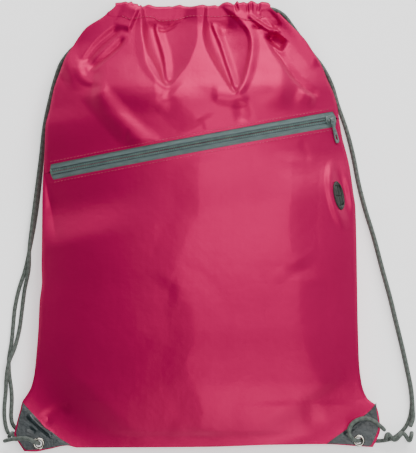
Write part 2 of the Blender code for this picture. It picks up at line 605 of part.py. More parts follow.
def make_cord(name, route):
    """A cord as a tube, its points closer together where it bends."""
    points = np.array(route) * MM
    knots = np.concatenate(([0], np.cumsum(np.linalg.norm(np.diff(points, axis=0), axis=1))))
    fine = through(knots, points, np.linspace(0, knots[-1], 3000), False)
    steps = np.diff(fine, axis=0)
    lengths = np.linalg.norm(steps, axis=1)
    headings = steps / lengths[:, None]
    turning = np.linalg.norm(np.diff(headings, axis=0), axis=1)
    cost = np.concatenate(([0], np.cumsum(lengths + 14 * MM * np.concatenate(([0], turning)))))
    chosen = np.interp(np.linspace(0, cost[-1], CORD_POINTS), cost, np.arange(len(cost)))
    curve = bpy.data.curves.new(name, "CURVE")
    curve.dimensions = "3D"
    curve.bevel_depth = CORD_DIAMETER / 2
    curve.bevel_resolution = 2
    curve.use_fill_caps = True
    spline = curve.splines.new("POLY")
    spline.points.add(CORD_POINTS - 1)
    for target, index in zip(spline.points, chosen):
        target.co = (*fine[int(round(index))], 1)
    new_object(name, curve, CORD_COLOUR, 0.9)


def make_knot(name, centre, radii, turn):
    """The outer shape of a knot: a closed lump with its long way turned on the ground."""
    mesh = bpy.data.meshes.new(name)
    work = bmesh.new()
    bmesh.ops.create_uvsphere(work, u_segments=14, v_segments=8, radius=1)
    scale = Matrix.Diagonal((*[r * MM for r in radii], 1))
    place = Matrix.Translation(Vector(centre) * MM) @ Matrix.Rotation(math.radians(turn), 4, "Z")
    work.transform(place @ scale)
    work.to_mesh(mesh)
    work.free()
    mesh.shade_smooth()
    new_object(name, mesh, CORD_COLOUR, 0.9)


def make_cords():
    """Both cords, each with its knot."""
    make_cord("left_cord", LEFT_CORD)
    make_cord("right_cord", RIGHT_CORD)
    make_knot("left_cord_knot", (-170.6, -194.9, 4.4), (4.3, 3.4, 3.4), -20)
    make_knot("right_cord_knot", (187.6, -195.4, 8.6), (14.6, 5.6, 4.0), 0)


def main():
    """Clear the scene and build every piece of the backpack."""
    for item in list(bpy.data.objects):
        bpy.data.objects.remove(item, do_unlink=True)
    make_panels()
    make_lining()
    make_channels()
    make_zip()
    make_slider()
    make_pull()
    make_port()
    make_corners()
    make_cords()


main()
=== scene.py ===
"""The looks of a drawstring backpack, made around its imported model.

The bag lies on its back with its front up: X runs to the right over the front, Y to the mouth
and Z out of the front. Shapes are worked out in millimetres and stored in metres.
"""

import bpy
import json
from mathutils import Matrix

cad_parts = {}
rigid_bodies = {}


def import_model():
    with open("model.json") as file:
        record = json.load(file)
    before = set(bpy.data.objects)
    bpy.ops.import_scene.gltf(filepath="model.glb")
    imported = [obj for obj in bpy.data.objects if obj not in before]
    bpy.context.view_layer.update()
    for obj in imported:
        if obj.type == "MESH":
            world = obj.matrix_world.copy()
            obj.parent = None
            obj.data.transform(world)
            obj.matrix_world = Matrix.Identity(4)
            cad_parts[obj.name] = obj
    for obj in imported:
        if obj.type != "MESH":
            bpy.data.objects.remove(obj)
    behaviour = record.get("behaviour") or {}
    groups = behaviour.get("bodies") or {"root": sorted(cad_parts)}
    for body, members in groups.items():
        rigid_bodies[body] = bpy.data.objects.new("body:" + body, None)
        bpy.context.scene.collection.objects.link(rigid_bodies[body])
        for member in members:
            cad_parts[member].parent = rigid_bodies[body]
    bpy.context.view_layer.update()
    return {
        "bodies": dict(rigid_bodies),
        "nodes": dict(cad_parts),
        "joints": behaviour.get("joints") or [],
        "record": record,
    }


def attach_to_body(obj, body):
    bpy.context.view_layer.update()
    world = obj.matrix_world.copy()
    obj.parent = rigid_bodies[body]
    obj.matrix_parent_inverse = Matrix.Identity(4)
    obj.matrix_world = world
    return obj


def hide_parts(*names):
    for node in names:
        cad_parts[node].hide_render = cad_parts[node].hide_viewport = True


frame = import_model()

import json
import logging
import math
from dataclasses import dataclass
from enum import Enum
from typing import Callable, Sequence

import bpy
import numpy as np
from mathutils import Matrix, Vector

LOG = logging.getLogger("drawstring_backpack")
MM = 0.001
ROOT = "bag"
Point = tuple[float, ...]


# ---- Numbers and curves ----


def smoothstep(value: np.ndarray | float, low: float, high: float) -> np.ndarray | float:
    """Ease from 0 at low to 1 at high.

    Args:
        value: where to read it.
        low: where it leaves 0.
        high: where it reaches 1.

    Returns:
        The eased share.
    """
    share = np.clip((value - low) / (high - low), 0.0, 1.0)
    return share * share * (3 - 2 * share)


def through(knots: Sequence[float], values: Sequence, where: np.ndarray, monotone: bool) -> np.ndarray:
    """Smooth curve through values at knots.

    Args:
        knots: rising positions of the values.
        values: one row for each knot.
        where: positions to read.
        monotone: keeps flat runs flat.

    Returns:
        One row for each position.
    """
    knots = np.asarray(knots, float)
    values = np.asarray(values, float).reshape(len(knots), -1)
    steps = np.diff(knots)
    secants = np.diff(values, axis=0) / steps[:, None]
    slopes = np.gradient(values, knots, axis=0)
    if monotone:
        before, after = secants[:-1], secants[1:]
        total = np.where(before + after == 0, 1.0, before + after)
        slopes[1:-1] = np.where(before * after > 0, 2 * before * after / total, 0.0)
    where = np.asarray(where, float)
    index = np.clip(np.searchsorted(knots, where, side="right") - 1, 0, len(steps) - 1)
    step = steps[index][..., None]
    share = ((where - knots[index]) / steps[index])[..., None]
    rise = 3 * share**2 - 2 * share**3
    lead = share**3 - 2 * share**2 + share
    trail = share**3 - share**2
    start, end = values[index], values[index + 1]
    return start + (end - start) * rise + step * (slopes[index] * lead + slopes[index + 1] * trail)


def even_path(points: Sequence[Point], spacing: float) -> np.ndarray:
    """Smooth path through points, read at even steps.

    Args:
        points: rows whose first two or three numbers are a place.
        spacing: distance between the points that come back.

    Returns:
        The path's rows.
    """
    rows = np.asarray(points, float)
    place = rows[:, : min(3, rows.shape[1])]
    knots = np.concatenate(([0.0], np.cumsum(np.linalg.norm(np.diff(place, axis=0), axis=1))))
    count = max(2, int(round(knots[-1] / spacing)) + 1)
    return through(knots, rows, np.linspace(0, knots[-1], count), False)


# ---- Materials ----


def colour(code: str) -> tuple[float, float, float, float]:
    """Linear colour of an sRGB hex value such as "A8224C"."""
    parts = [int(code[i : i + 2], 16) / 255 for i in (0, 2, 4)]
    linear = [p / 12.92 if p <= 0.04045 else ((p + 0.055) / 1.055) ** 2.4 for p in parts]
    return (*linear, 1.0)


def add(tree: bpy.types.NodeTree, kind: str, inputs: dict | None = None, **settings) -> bpy.types.Node:
    """Add a node with its settings and links.

    Args:
        tree: the material's node tree.
        kind: the node's type.
        inputs: socket name or number to a constant, or to a socket to link from.
        settings: the node's own properties.

    Returns:
        The node.
    """
    node = tree.nodes.new(kind)
    for name, value in settings.items():
        setattr(node, name, value)
    for name, value in (inputs or {}).items():
        if isinstance(value, bpy.types.NodeSocket):
            tree.links.new(value, node.inputs[name])
        else:
            node.inputs[name].default_value = value
    return node


class Pattern(Enum):
    """What a finish's pattern follows."""

    SURFACE = "UV"
    PLACE = "Object"


@dataclass(frozen=True)
class Finish:
    """A material's plain values; each real finish adds its own pattern.

    roughness, sheen and coat are the shader's own values.
    """

    title: str
    shade: str
    light: str
    roughness: float
    metallic: float = 0.0
    ior: float = 1.5
    sheen: float = 0.0
    sheen_tint: str = "FFFFFF"
    specular: float = 0.5
    specular_tint: str = "FFFFFF"
    coat: float = 0.0
    pattern: Pattern = Pattern.SURFACE

    def start(self) -> tuple[bpy.types.Material, bpy.types.NodeTree, bpy.types.Node]:
        """Make the material with its shader's own values set.

        Returns:
            The material, its node tree and its shader.
        """
        material = bpy.data.materials.new(self.title)
        material.use_nodes = True
        tree = material.node_tree
        shader = tree.nodes["Principled BSDF"]
        values = {
            "Base Color": colour(self.light),
            "Roughness": self.roughness,
            "Metallic": self.metallic,
            "IOR": self.ior,
            "Sheen Weight": self.sheen,
            "Sheen Tint": colour(self.sheen_tint),
            "Sheen Roughness": 0.4,
            "Specular IOR Level": self.specular,
            "Specular Tint": colour(self.specular_tint),
            "Coat Weight": self.coat,
            "Coat Roughness": 0.3,
        }
        for name, value in values.items():
            shader.inputs[name].default_value = value
        return material, tree, shader

    def place(self, tree: bpy.types.NodeTree, scale: Point, turn: float = 0.0) -> bpy.types.NodeSocket:
        """Coordinates of the pattern.

        Args:
            tree: the material's node tree.
            scale: repeats to the metre along each axis.
            turn: angle about Z.

        Returns:
            The coordinates' socket.
        """
        source = add(tree, "ShaderNodeTexCoord").outputs[self.pattern.value]
        mapping = add(tree, "ShaderNodeMapping", {"Vector": source, "Scale": scale, "Rotation": (0, 0, turn)})
        return mapping.outputs["Vector"]

    def mix(self, tree: bpy.types.NodeTree, first: bpy.types.NodeSocket, weight: float,
            second: bpy.types.NodeSocket) -> bpy.types.NodeSocket:
        """Two values added by weight; the second has what the first leaves."""
        parts = [self.calc(tree, "MULTIPLY", value, part) for value, part in ((first, weight), (second, 1 - weight))]
        return self.calc(tree, "ADD", *parts)

    def roughen(self, tree: bpy.types.NodeTree, shader: bpy.types.Node, value: bpy.types.NodeSocket, low: float,
                high: float) -> None:
        """Let a value move the roughness between two steps from the finish's own."""
        rough = self.remap(tree, value, self.roughness + low, self.roughness + high)
        tree.links.new(rough, shader.inputs["Roughness"])

    def mottle(self, tree: bpy.types.NodeTree, scale: Point, detail: float = 3.0) -> bpy.types.NodeSocket:
        """A soft uneven value between 0 and 1.

        Args:
            tree: the material's node tree.
            scale: repeats to the metre along each axis.
            detail: how many finer layers it has.

        Returns:
            The value's socket.
        """
        noise = add(tree, "ShaderNodeTexNoise", {"Vector": self.place(tree, scale), "Scale": 1.0, "Detail": detail})
        return noise.outputs["Fac"]

    def blend(self, tree: bpy.types.NodeTree, share: bpy.types.NodeSocket, low: float, high: float,
              shade: str = "", light: str = "") -> bpy.types.NodeSocket:
        """Colours from shade to light as a value goes from low to high.

        Args:
            tree: the material's node tree.
            share: the value.
            low: where shade ends.
            high: where light begins.
            shade: hex colour, or the finish's own.
            light: hex colour, or the finish's own.

        Returns:
            The colour's socket.
        """
        ramp = add(tree, "ShaderNodeValToRGB", {"Fac": share})
        ends = ramp.color_ramp.elements
        ends[0].position, ends[1].position = low, high
        ends[0].color, ends[1].color = colour(shade or self.shade), colour(light or self.light)
        return ramp.outputs["Color"]

    def remap(self, tree: bpy.types.NodeTree, value: bpy.types.NodeSocket, low: float,
              high: float) -> bpy.types.NodeSocket:
        """Spread a 0 to 1 value from low to high."""
        return add(tree, "ShaderNodeMapRange", {"Value": value, "To Min": low, "To Max": high}).outputs["Result"]

    def wave(self, tree: bpy.types.NodeTree, repeats: float, along: str, wobble: float = 0.0,
             turn: float = 0.0) -> bpy.types.NodeSocket:
        """Even bands, one for each thread or rib.

        Args:
            tree: the material's node tree.
            repeats: bands to the metre.
            along: X or Y, the way that the bands follow each other.
            wobble: how uneven they are.
            turn: angle about Z.

        Returns:
            The bands' socket, from 0 to 1.
        """
        # a wave texture's band is 2*pi/20 long at scale 1
        scale = repeats * math.pi / 10
        where = self.place(tree, (1, 1, 1), turn)
        node = add(tree, "ShaderNodeTexWave", {"Vector": where, "Scale": scale, "Distortion": wobble, "Detail": 1.0},
                   wave_type="BANDS", bands_direction=along, wave_profile="SIN")
        return node.outputs["Fac"]

    def calc(self, tree: bpy.types.NodeTree, operation: str, first, second) -> bpy.types.NodeSocket:
        """One step of arithmetic on two sockets or numbers."""
        return add(tree, "ShaderNodeMath", {0: first, 1: second}, operation=operation).outputs[0]

    def bump(self, tree: bpy.types.NodeTree, shader: bpy.types.Node, height: bpy.types.NodeSocket, depth: float,
             under: bpy.types.NodeSocket | None = None) -> bpy.types.NodeSocket:
        """Raise the surface by a pattern.

        Args:
            tree: the material's node tree.
            shader: the shader that takes the bump.
            height: the pattern.
            depth: height of the pattern in metres.
            under: a coarser bump that this one lies on.

        Returns:
            The bump's normal.
        """
        inputs = {"Height": height, "Distance": depth, "Strength": 1.0}
        if under is not None:
            inputs["Normal"] = under
        normal = add(tree, "ShaderNodeBump", inputs).outputs["Normal"]
        tree.links.new(normal, shader.inputs["Normal"])
        return normal


@dataclass(frozen=True)
class WovenPolyester(Finish):
    """Dyed plain-woven filament polyester, calendered to a satin face, coated on the back.

    Its flat filaments throw back a broad gloss in the dye's own hue over a deeper ground.
    """

    threads: float = 900.0

    def material(self) -> bpy.types.Material:
        """Weave, slubs and faint creasing over the dye.

        Returns:
            The material.
        """
        material, tree, shader = self.start()
        # real threads are 0.3 mm apart; drawn at 1.1 mm so that the weave shows
        warp = self.wave(tree, self.threads, "X", 0.6)
        weft = self.wave(tree, self.threads, "Y", 0.6)
        weave = self.calc(tree, "MULTIPLY", self.calc(tree, "ADD", warp, weft), 0.5)
        slub = self.mottle(tree, (40, 700, 40), 2.0)
        slub_across = self.mottle(tree, (700, 40, 40), 2.0)
        threads = self.calc(tree, "MULTIPLY", self.calc(tree, "ADD", slub, slub_across), 0.5)
        cloud = self.mottle(tree, (14, 14, 14), 2.0)
        tone = self.mix(tree, threads, 0.3, cloud)
        tree.links.new(self.blend(tree, tone, 0.3, 0.7), shader.inputs["Base Color"])
        self.roughen(tree, shader, threads, -0.02, 0.02)
        creases = self.bump(tree, shader, self.mottle(tree, (60, 60, 60), 4.0), 0.0005)
        fine = self.bump(tree, shader, threads, 0.00002, creases)
        self.bump(tree, shader, weave, 0.00003, fine)
        return material


@dataclass(frozen=True)
class SyntheticLeather(Finish):
    """Polyurethane leather cloth: a dark embossed skin with a waxy gloss on its folds."""

    def material(self) -> bpy.types.Material:
        """Pebbled grain of about 0.8 mm with soft wear.

        Returns:
            The material.
        """
        material, tree, shader = self.start()
        cells = add(tree, "ShaderNodeTexVoronoi", {"Vector": self.place(tree, (1, 1, 1)), "Scale": 900.0},
                    feature="SMOOTH_F1")
        wear = self.mottle(tree, (110, 110, 110), 4.0)
        tree.links.new(self.blend(tree, wear, 0.35, 0.75), shader.inputs["Base Color"])
        self.roughen(tree, shader, wear, 0.08, -0.06)
        crumple = self.bump(tree, shader, self.mottle(tree, (220, 220, 220), 4.0), 0.0006)
        self.bump(tree, shader, cells.outputs["Distance"], 0.00012, crumple)
        return material


@dataclass(frozen=True)
class WovenTape(Finish):
    """Polyester zip tape: a close herringbone-like rib across its width, matt with a dry sheen."""

    def material(self) -> bpy.types.Material:
        """Ribs along the tape and fine picks across it, in the strip's own UV (metres).

        Returns:
            The material.
        """
        material, tree, shader = self.start()
        # real picks are 0.5 mm apart; drawn at 0.9 mm
        picks = self.wave(tree, 1100, "X", 0.8)
        ribs = self.wave(tree, 1250, "Y", 0.2)
        cloth = self.calc(tree, "MULTIPLY", picks, ribs)
        worn = self.mottle(tree, (90, 500, 90), 3.0)
        tone = self.mix(tree, cloth, 0.5, worn)
        tree.links.new(self.blend(tree, tone, 0.2, 0.65), shader.inputs["Base Color"])
        self.bump(tree, shader, self.calc(tree, "ADD", picks, ribs), 0.00012)
        return material


@dataclass(frozen=True)
class Moulded(Finish):
    """A moulded, cast or extruded surface with a fine uneven skin; grain is its size in metres."""

    grain: float = 0.0006
    depth: float = 0.00004

    def material(self) -> bpy.types.Material:
        """Fine orange peel and a little tone.

        Returns:
            The material.
        """
        material, tree, shader = self.start()
        scale = 1 / self.grain
        skin = self.mottle(tree, (scale, scale, scale), 2.0)
        scuff = self.mottle(tree, (160, 160, 160), 4.0)
        tree.links.new(self.blend(tree, scuff, 0.35, 0.7), shader.inputs["Base Color"])
        self.roughen(tree, shader, scuff, 0.07, -0.05)
        self.bump(tree, shader, skin, self.depth)
        return material


@dataclass(frozen=True)
class Braid(Finish):
    """Braided filament cord: crossing carriers, with painted shade in the pits between them."""

    def material(self) -> bpy.types.Material:
        """Painted shade by the braid's own relief, kept on each point as its height: darker in the pits, lighter on the
        carriers.

        Returns:
            The material.
        """
        material, tree, shader = self.start()
        relief = add(tree, "ShaderNodeAttribute", attribute_name="relief").outputs["Fac"]
        fibre = self.mottle(tree, (900, 900, 900), 2.0)
        # painted shade: the colour is darker in the braid's pits and lighter on its carriers
        tone = self.mix(tree, relief, 0.75, fibre)
        tree.links.new(self.blend(tree, tone, 0.25, 0.8), shader.inputs["Base Color"])
        self.bump(tree, shader, fibre, 0.0002)
        return material


class Wardrobe:
    """Every finish of the bag, made once."""

    def __init__(self) -> None:
        """Make the finishes and their materials."""
        finishes = {
            "cloth": WovenPolyester("satin_woven_polyester", "850A3E", "900C44", 0.43, ior=2.0, specular=1.0,
                                    specular_tint="FF2070"),
            "lining": WovenPolyester("plain_polyester_lining", "7C1738", "8C1D42", 0.6, specular=0.4),
            "leather": SyntheticLeather("embossed_polyurethane_leather", "121B1E", "1F2A2D", 0.36, coat=0.25,
                                         pattern=Pattern.PLACE),
            "tape": WovenTape("woven_polyester_zip_tape", "3F5050", "6A7B79", 0.75, sheen=0.3,
                              sheen_tint="B8C8C6"),
            "coil": Moulded("nylon_zip_coil", "485A58", "66786F", 0.42, pattern=Pattern.PLACE),
            "slider": Moulded("enamelled_zinc_casting", "3E4F4D", "5E6F6C", 0.33, specular=0.6, coat=0.3,
                              pattern=Pattern.PLACE),
            "rubber": Moulded("moulded_rubber", "10150F", "1D241F", 0.48, grain=0.0005, pattern=Pattern.PLACE),
            "nickel": Moulded("polished_nickel_plate", "8E897E", "B4B0A6", 0.16, metallic=1.0, grain=0.0012,
                              depth=0.00002, pattern=Pattern.PLACE),
            # the cord's two colours are spread by its relief as painted shade in the braid's pits
            "cord": Braid("braided_polyester_cord", "1C211E", "565E58", 0.7, sheen=0.25, sheen_tint="C0C8C0",
                          pattern=Pattern.PLACE),
            "thread": Moulded("sewing_thread", "8E1B42", "C02C5B", 0.6, grain=0.0004, pattern=Pattern.PLACE),
            # dark thread for the patches' stitches; also the zip's dark strips, painted shadow of the gap between coil
            # and tape
            "dark_thread_and_groove_shade": Moulded("dark_sewing_thread_and_painted_groove_shade", "1E2A2C", "36454A", 0.6, grain=0.0004, pattern=Pattern.PLACE),
        }
        self.materials = {key: finish.material() for key, finish in finishes.items()}

    def dress(self, piece: bpy.types.Object, key: str) -> bpy.types.Object:
        """Give a piece one finish and nothing else."""
        piece.data.materials.clear()
        piece.data.materials.append(self.materials[key])
        return piece

    def fit(self, piece: bpy.types.Object, key: str, body: str, slot: str, *nodes: str) -> bpy.types.Object:
        """Dress a piece and attach it."""
        return attach(self.dress(piece, key), body, slot, *nodes)


# ---- Meshes ----


def new_piece(name: str, points: np.ndarray, faces: Sequence, angle: float = 180.0) -> bpy.types.Object:
    """Make an object from points in millimetres.

    Args:
        name: the piece's name.
        points: one row for each vertex.
        faces: corner numbers of each face.
        angle: edges sharper than this many degrees stay sharp.

    Returns:
        The object.
    """
    mesh = bpy.data.meshes.new(name)
    mesh.from_pydata((np.asarray(points) * MM).tolist(), [], [list(map(int, face)) for face in faces])
    mesh.validate()
    mesh.shade_smooth()
    if angle < 180:
        mesh.set_sharp_from_angle(angle=math.radians(angle))
    piece = bpy.data.objects.new(name, mesh)
    bpy.context.scene.collection.objects.link(piece)
    return piece


def attach(piece: bpy.types.Object, body: str, slot: str, *nodes: str) -> bpy.types.Object:
    """Ride a piece on a body and say which nodes it stands for."""
    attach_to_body(piece, body)
    if nodes:
        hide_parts(*nodes)
        piece.name = piece.data.name = nodes[0] + "_piece"
    LOG.info("%s rides on %s, %d faces", piece.name, body, len(getattr(piece.data, "polygons", ())))
    return piece


def write_uv(piece: bpy.types.Object, values: np.ndarray) -> None:
    """Store one UV pair for each vertex, in metres of the piece's own cloth."""
    layer = piece.data.uv_layers.new(name="cloth")
    corners = np.zeros(len(piece.data.loops), int)
    piece.data.loops.foreach_get("vertex_index", corners)
    layer.data.foreach_set("uv", (np.asarray(values)[corners] * MM).ravel())


def cloth_sheet(name: str, top: np.ndarray, wall: float, keep: np.ndarray | None = None,
                flat: np.ndarray | None = None) -> bpy.types.Object:
    """A sheet of cloth with a wall, from a grid of upper points.

    Args:
        name: the piece's name.
        top: grid of points, (rows, columns, 3), in millimetres.
        wall: thickness, measured downwards.
        keep: for each cell of the grid, whether it has a face.
        flat: the cloth's own coordinates at each point.

    Returns:
        The object.
    """
    rows, columns = top.shape[:2]
    count = rows * columns
    number = np.arange(count).reshape(rows, columns)
    if keep is None:
        keep = np.ones((rows - 1, columns - 1), bool)
    a, b = number[:-1, :-1][keep], number[:-1, 1:][keep]
    c, d = number[1:, 1:][keep], number[1:, :-1][keep]
    upper = np.stack((a, b, c, d), 1)
    lower = upper[:, ::-1] + count
    edges = np.concatenate((upper[:, [0, 1]], upper[:, [1, 2]], upper[:, [2, 3]], upper[:, [3, 0]]))
    keys = edges[:, 0] * count + edges[:, 1]
    back = edges[:, 1] * count + edges[:, 0]
    rim = edges[~np.isin(keys, back)]
    sides = np.stack((rim[:, 1], rim[:, 0], rim[:, 0] + count, rim[:, 1] + count), 1)
    points = top.reshape(-1, 3)
    points = np.concatenate((points, points - (0, 0, wall)))
    used = np.zeros(2 * count, bool)
    faces = np.concatenate((upper, lower, sides))
    used[faces.ravel()] = True
    renumber = np.cumsum(used) - 1
    piece = new_piece(name, points[used], renumber[faces], 60)
    plan = (flat if flat is not None else top[..., :2]).reshape(-1, 2)
    write_uv(piece, np.concatenate((plan, plan))[used])
    return piece


def ring_snap(x: np.ndarray, y: np.ndarray, centre: Point, half: Point, turn: float,
              cell: float) -> tuple[np.ndarray, np.ndarray, np.ndarray]:
    """Pull grid points near an oval onto it, so that a hole can be left there.

    Args:
        x: grid of x.
        y: grid of y.
        centre: the oval's centre.
        half: its half width and half length.
        turn: its angle in radians.
        cell: the grid's spacing.

    Returns:
        The new x, the new y, and which points are inside or on the oval.
    """
    dx, dy = x - centre[0], y - centre[1]
    cos, sin = math.cos(turn), math.sin(turn)
    along, up = dx * cos + dy * sin, dy * cos - dx * sin
    radius = np.hypot(along / half[0], up / half[1])
    reach = 0.62 * cell / min(half)
    near = np.abs(radius - 1) < reach
    share = np.where(near, 1 / np.maximum(radius, 1e-6), 1.0)
    along, up = along * share, up * share
    return (np.where(near, centre[0] + along * cos - up * sin, x),
            np.where(near, centre[1] + along * sin + up * cos, y),
            (radius <= 1) | near)


def tube(name: str, path: np.ndarray, radius: np.ndarray | float, sides: int, closed: bool = False) -> bpy.types.Object:
    """A round tube along a path, with filled ends.

    Args:
        name: the piece's name.
        path: rows of points in millimetres.
        radius: one radius, or one for each point.
        sides: points round the tube.
        closed: joins the end to the start.

    Returns:
        The object.
    """
    rings = tube_rings(path, np.broadcast_to(radius, (len(path),)), sides, closed)
    count = len(path)
    faces = []
    for i in range(count if closed else count - 1):
        j = (i + 1) % count
        for k in range(sides):
            m = (k + 1) % sides
            faces.append((i * sides + k, i * sides + m, j * sides + m, j * sides + k))
    if not closed:
        faces.append(tuple(range(sides))[::-1])
        faces.append(tuple(range((count - 1) * sides, count * sides)))
    return new_piece(name, rings.reshape(-1, 3), faces, 70)


def tube_frames(path: np.ndarray, closed: bool = False) -> tuple[np.ndarray, np.ndarray]:
    """Two directions square to a path at each point, without twist.

    Args:
        path: rows of points.
        closed: whether the path is a loop.

    Returns:
        The first and the second direction.
    """
    if closed:
        ahead = np.roll(path, -1, 0) - np.roll(path, 1, 0)
    else:
        ahead = np.gradient(path, axis=0)
    ahead /= np.linalg.norm(ahead, axis=1)[:, None]
    start = np.cross(ahead[0], (0.0, 0.0, 1.0))
    if np.linalg.norm(start) < 0.1:
        start = np.cross(ahead[0], (0.0, 1.0, 0.0))
    first = [start / np.linalg.norm(start)]
    for heading in ahead[1:]:
        kept = first[-1] - heading * first[-1].dot(heading)
        first.append(kept / np.linalg.norm(kept))
    first = np.array(first)
    return first, np.cross(ahead, first)


def tube_rings(path: np.ndarray, radius: np.ndarray, sides: int, closed: bool = False) -> np.ndarray:
    """Rings of points along a path, (points, sides, 3)."""
    first, second = tube_frames(path, closed)
    turn = np.linspace(0, 2 * math.pi, sides, endpoint=False)
    if np.ndim(radius) == 1:
        radius = radius[:, None] * np.ones(sides)
    spread = np.cos(turn)[None, :, None] * first[:, None] + np.sin(turn)[None, :, None] * second[:, None]
    return path[:, None] + spread * np.asarray(radius)[..., None]


def select_only(piece: bpy.types.Object) -> None:
    """Make one piece the only selected and active one."""
    bpy.ops.object.select_all(action="DESELECT")
    piece.select_set(True)
    bpy.context.view_layer.objects.active = piece


def face_out(piece: bpy.types.Object) -> bpy.types.Object:
    """Turn a closed piece's faces outward."""
    select_only(piece)
    bpy.ops.object.mode_set(mode="EDIT")
    bpy.ops.mesh.select_all(action="SELECT")
    bpy.ops.mesh.normals_make_consistent(inside=False)
    bpy.ops.object.mode_set(mode="OBJECT")
    return piece


def carried(frame: Matrix, point: Point) -> list[float]:
    """Carry a point in millimetres through a frame in metres."""
    return [*(frame @ (Vector(point) * MM) / MM)]


def plate(name: str, outline: Sequence[Point], low: float, high: float, rim: float, place: Matrix,
          segments: int = 3) -> bpy.types.Object:
    """Raise an outline into a plate with rounded rims.

    Args:
        name: the piece's name.
        outline: points of the outline in millimetres.
        low: its underside.
        high: its upper side.
        rim: radius of its rims.
        place: where it goes, in metres.
        segments: facets of each rim.

    Returns:
        The object.
    """
    bpy.ops.object.select_all(action="DESELECT")
    bpy.ops.mesh.primitive_circle_add(vertices=len(outline), radius=MM, fill_type="NGON")
    piece = bpy.context.active_object
    piece.name = piece.data.name = name
    for vertex, (x, y) in zip(piece.data.vertices, outline):
        vertex.co = (x * MM, y * MM, low * MM)
    bpy.ops.object.mode_set(mode="EDIT")
    bpy.ops.mesh.select_all(action="SELECT")
    bpy.ops.mesh.extrude_region_move(TRANSFORM_OT_translate={"value": (0, 0, (high - low) * MM)})
    bpy.ops.mesh.select_all(action="SELECT")
    bpy.ops.mesh.normals_make_consistent(inside=False)
    bpy.ops.object.mode_set(mode="OBJECT")
    if rim > 0:
        modifier = piece.modifiers.new("rim", "BEVEL")
        modifier.width = rim * MM
        modifier.segments = segments
        modifier.limit_method = "ANGLE"
        modifier.angle_limit = math.radians(30)
        bpy.ops.object.modifier_apply(modifier="rim")
    bpy.ops.object.shade_smooth_by_angle(angle=math.radians(35))
    piece.data.transform(place)
    return piece


def boolean(piece: bpy.types.Object, other: bpy.types.Object, operation: str) -> None:
    """Cut another shape from a piece, or unite it with it, and remove the other."""
    select_only(piece)
    modifier = piece.modifiers.new("cut", "BOOLEAN")
    modifier.operation = operation
    modifier.solver = "EXACT"
    modifier.object = other
    bpy.ops.object.modifier_apply(modifier="cut")
    bpy.data.objects.remove(other, do_unlink=True)


def join(name: str, pieces: Sequence[bpy.types.Object]) -> bpy.types.Object:
    """Join several objects into one."""
    select_only(pieces[0])
    for piece in pieces:
        piece.select_set(True)
    bpy.ops.object.join()
    pieces[0].name = pieces[0].data.name = name
    return pieces[0]


def oval(half_width: float, half_length: float, sides: int) -> list[Point]:
    """Points round an oval."""
    turns = np.linspace(0, 2 * math.pi, sides, endpoint=False)
    return [(half_width * math.cos(a), half_length * math.sin(a)) for a in turns]


def spun(name: str, profile: Sequence[Point], place: Matrix, steps: int = 48) -> bpy.types.Object:
    """Turn a closed profile once round the Z axis.

    Args:
        name: the piece's name.
        profile: (radius, height) points in millimetres.
        place: where the shape goes, in metres.
        steps: facets round it.

    Returns:
        The object.
    """
    bpy.ops.object.select_all(action="DESELECT")
    bpy.ops.mesh.primitive_circle_add(vertices=len(profile), radius=MM, fill_type="NOTHING")
    piece = bpy.context.active_object
    piece.name = piece.data.name = name
    for vertex, (radius, height) in zip(piece.data.vertices, profile):
        vertex.co = (radius * MM, 0, height * MM)
    bpy.ops.object.mode_set(mode="EDIT")
    bpy.ops.mesh.select_all(action="SELECT")
    bpy.ops.mesh.spin(steps=steps, angle=2 * math.pi, center=(0, 0, 0), axis=(0, 0, 1))
    bpy.ops.mesh.select_all(action="SELECT")
    bpy.ops.mesh.remove_doubles(threshold=1e-6)
    bpy.ops.mesh.normals_make_consistent(inside=False)
    bpy.ops.object.mode_set(mode="OBJECT")
    bpy.ops.object.shade_smooth_by_angle(angle=math.radians(40))
    piece.data.transform(place)
    return piece


def capsule(length: float, radius: float, sides: int = 8) -> tuple[np.ndarray, list]:
    """A stitch along X with round ends: its points in millimetres and its faces."""
    half = length / 2 - radius
    stops = [(-half - radius * 0.8, 0.6), (-half, 1.0), (half, 1.0), (half + radius * 0.8, 0.6)]
    turn = np.linspace(0, 2 * math.pi, sides, endpoint=False)
    rings = [np.stack((np.full(sides, x), radius * r * np.cos(turn), radius * r * np.sin(turn)), 1) for x, r in stops]
    faces = [tuple(range(sides))[::-1], tuple(range(3 * sides, 4 * sides))]
    for i in range(3):
        for k in range(sides):
            m = (k + 1) % sides
            faces.append((i * sides + k, i * sides + m, (i + 1) * sides + m, (i + 1) * sides + k))
    return np.concatenate(rings), faces


def row_of(name: str, shape: tuple[np.ndarray, list], spots: Sequence[tuple], angle: float = 50) -> bpy.types.Object:
    """Repeat one shape at many spots as one piece.

    Args:
        name: the piece's name.
        shape: points and faces of one repeat.
        spots: (place, ahead, out) of each repeat, in millimetres.
        angle: edges sharper than this stay sharp.

    Returns:
        The object.
    """
    points, faces = shape
    all_points, all_faces = [], []
    for place, ahead, out in spots:
        ahead = np.asarray(ahead, float) / np.linalg.norm(ahead)
        side = np.cross(out, ahead)
        side /= np.linalg.norm(side)
        up = np.cross(ahead, side)
        base = len(all_points) * len(points)
        all_points.append(place + points @ np.array((ahead, side, up)))
        all_faces.extend([[base + k for k in face] for face in faces])
    return new_piece(name, np.concatenate(all_points), all_faces, angle)


# ---- The bag's form ----


class Profile(Enum):
    """How a fold falls away from its line, at a share of its width."""

    SOFT = "round crest and round foot"
    CREASED = "sharp crest and round foot"
    RIMMED = "round crest and sharp foot"
    FACETED = "flat faces between sharp lines"

    def at(self, share: np.ndarray) -> np.ndarray:
        """Share of the height that is left."""
        soft = np.cos(share * math.pi / 2) ** 2
        if self is Profile.CREASED:
            return 0.3 * soft + 0.7 * (1 - share) ** 2
        if self is Profile.RIMMED:
            return 0.15 * soft + 0.85 * (1 - share**2)
        if self is Profile.FACETED:
            return 0.35 * soft + 0.65 * (1 - share)
        return soft


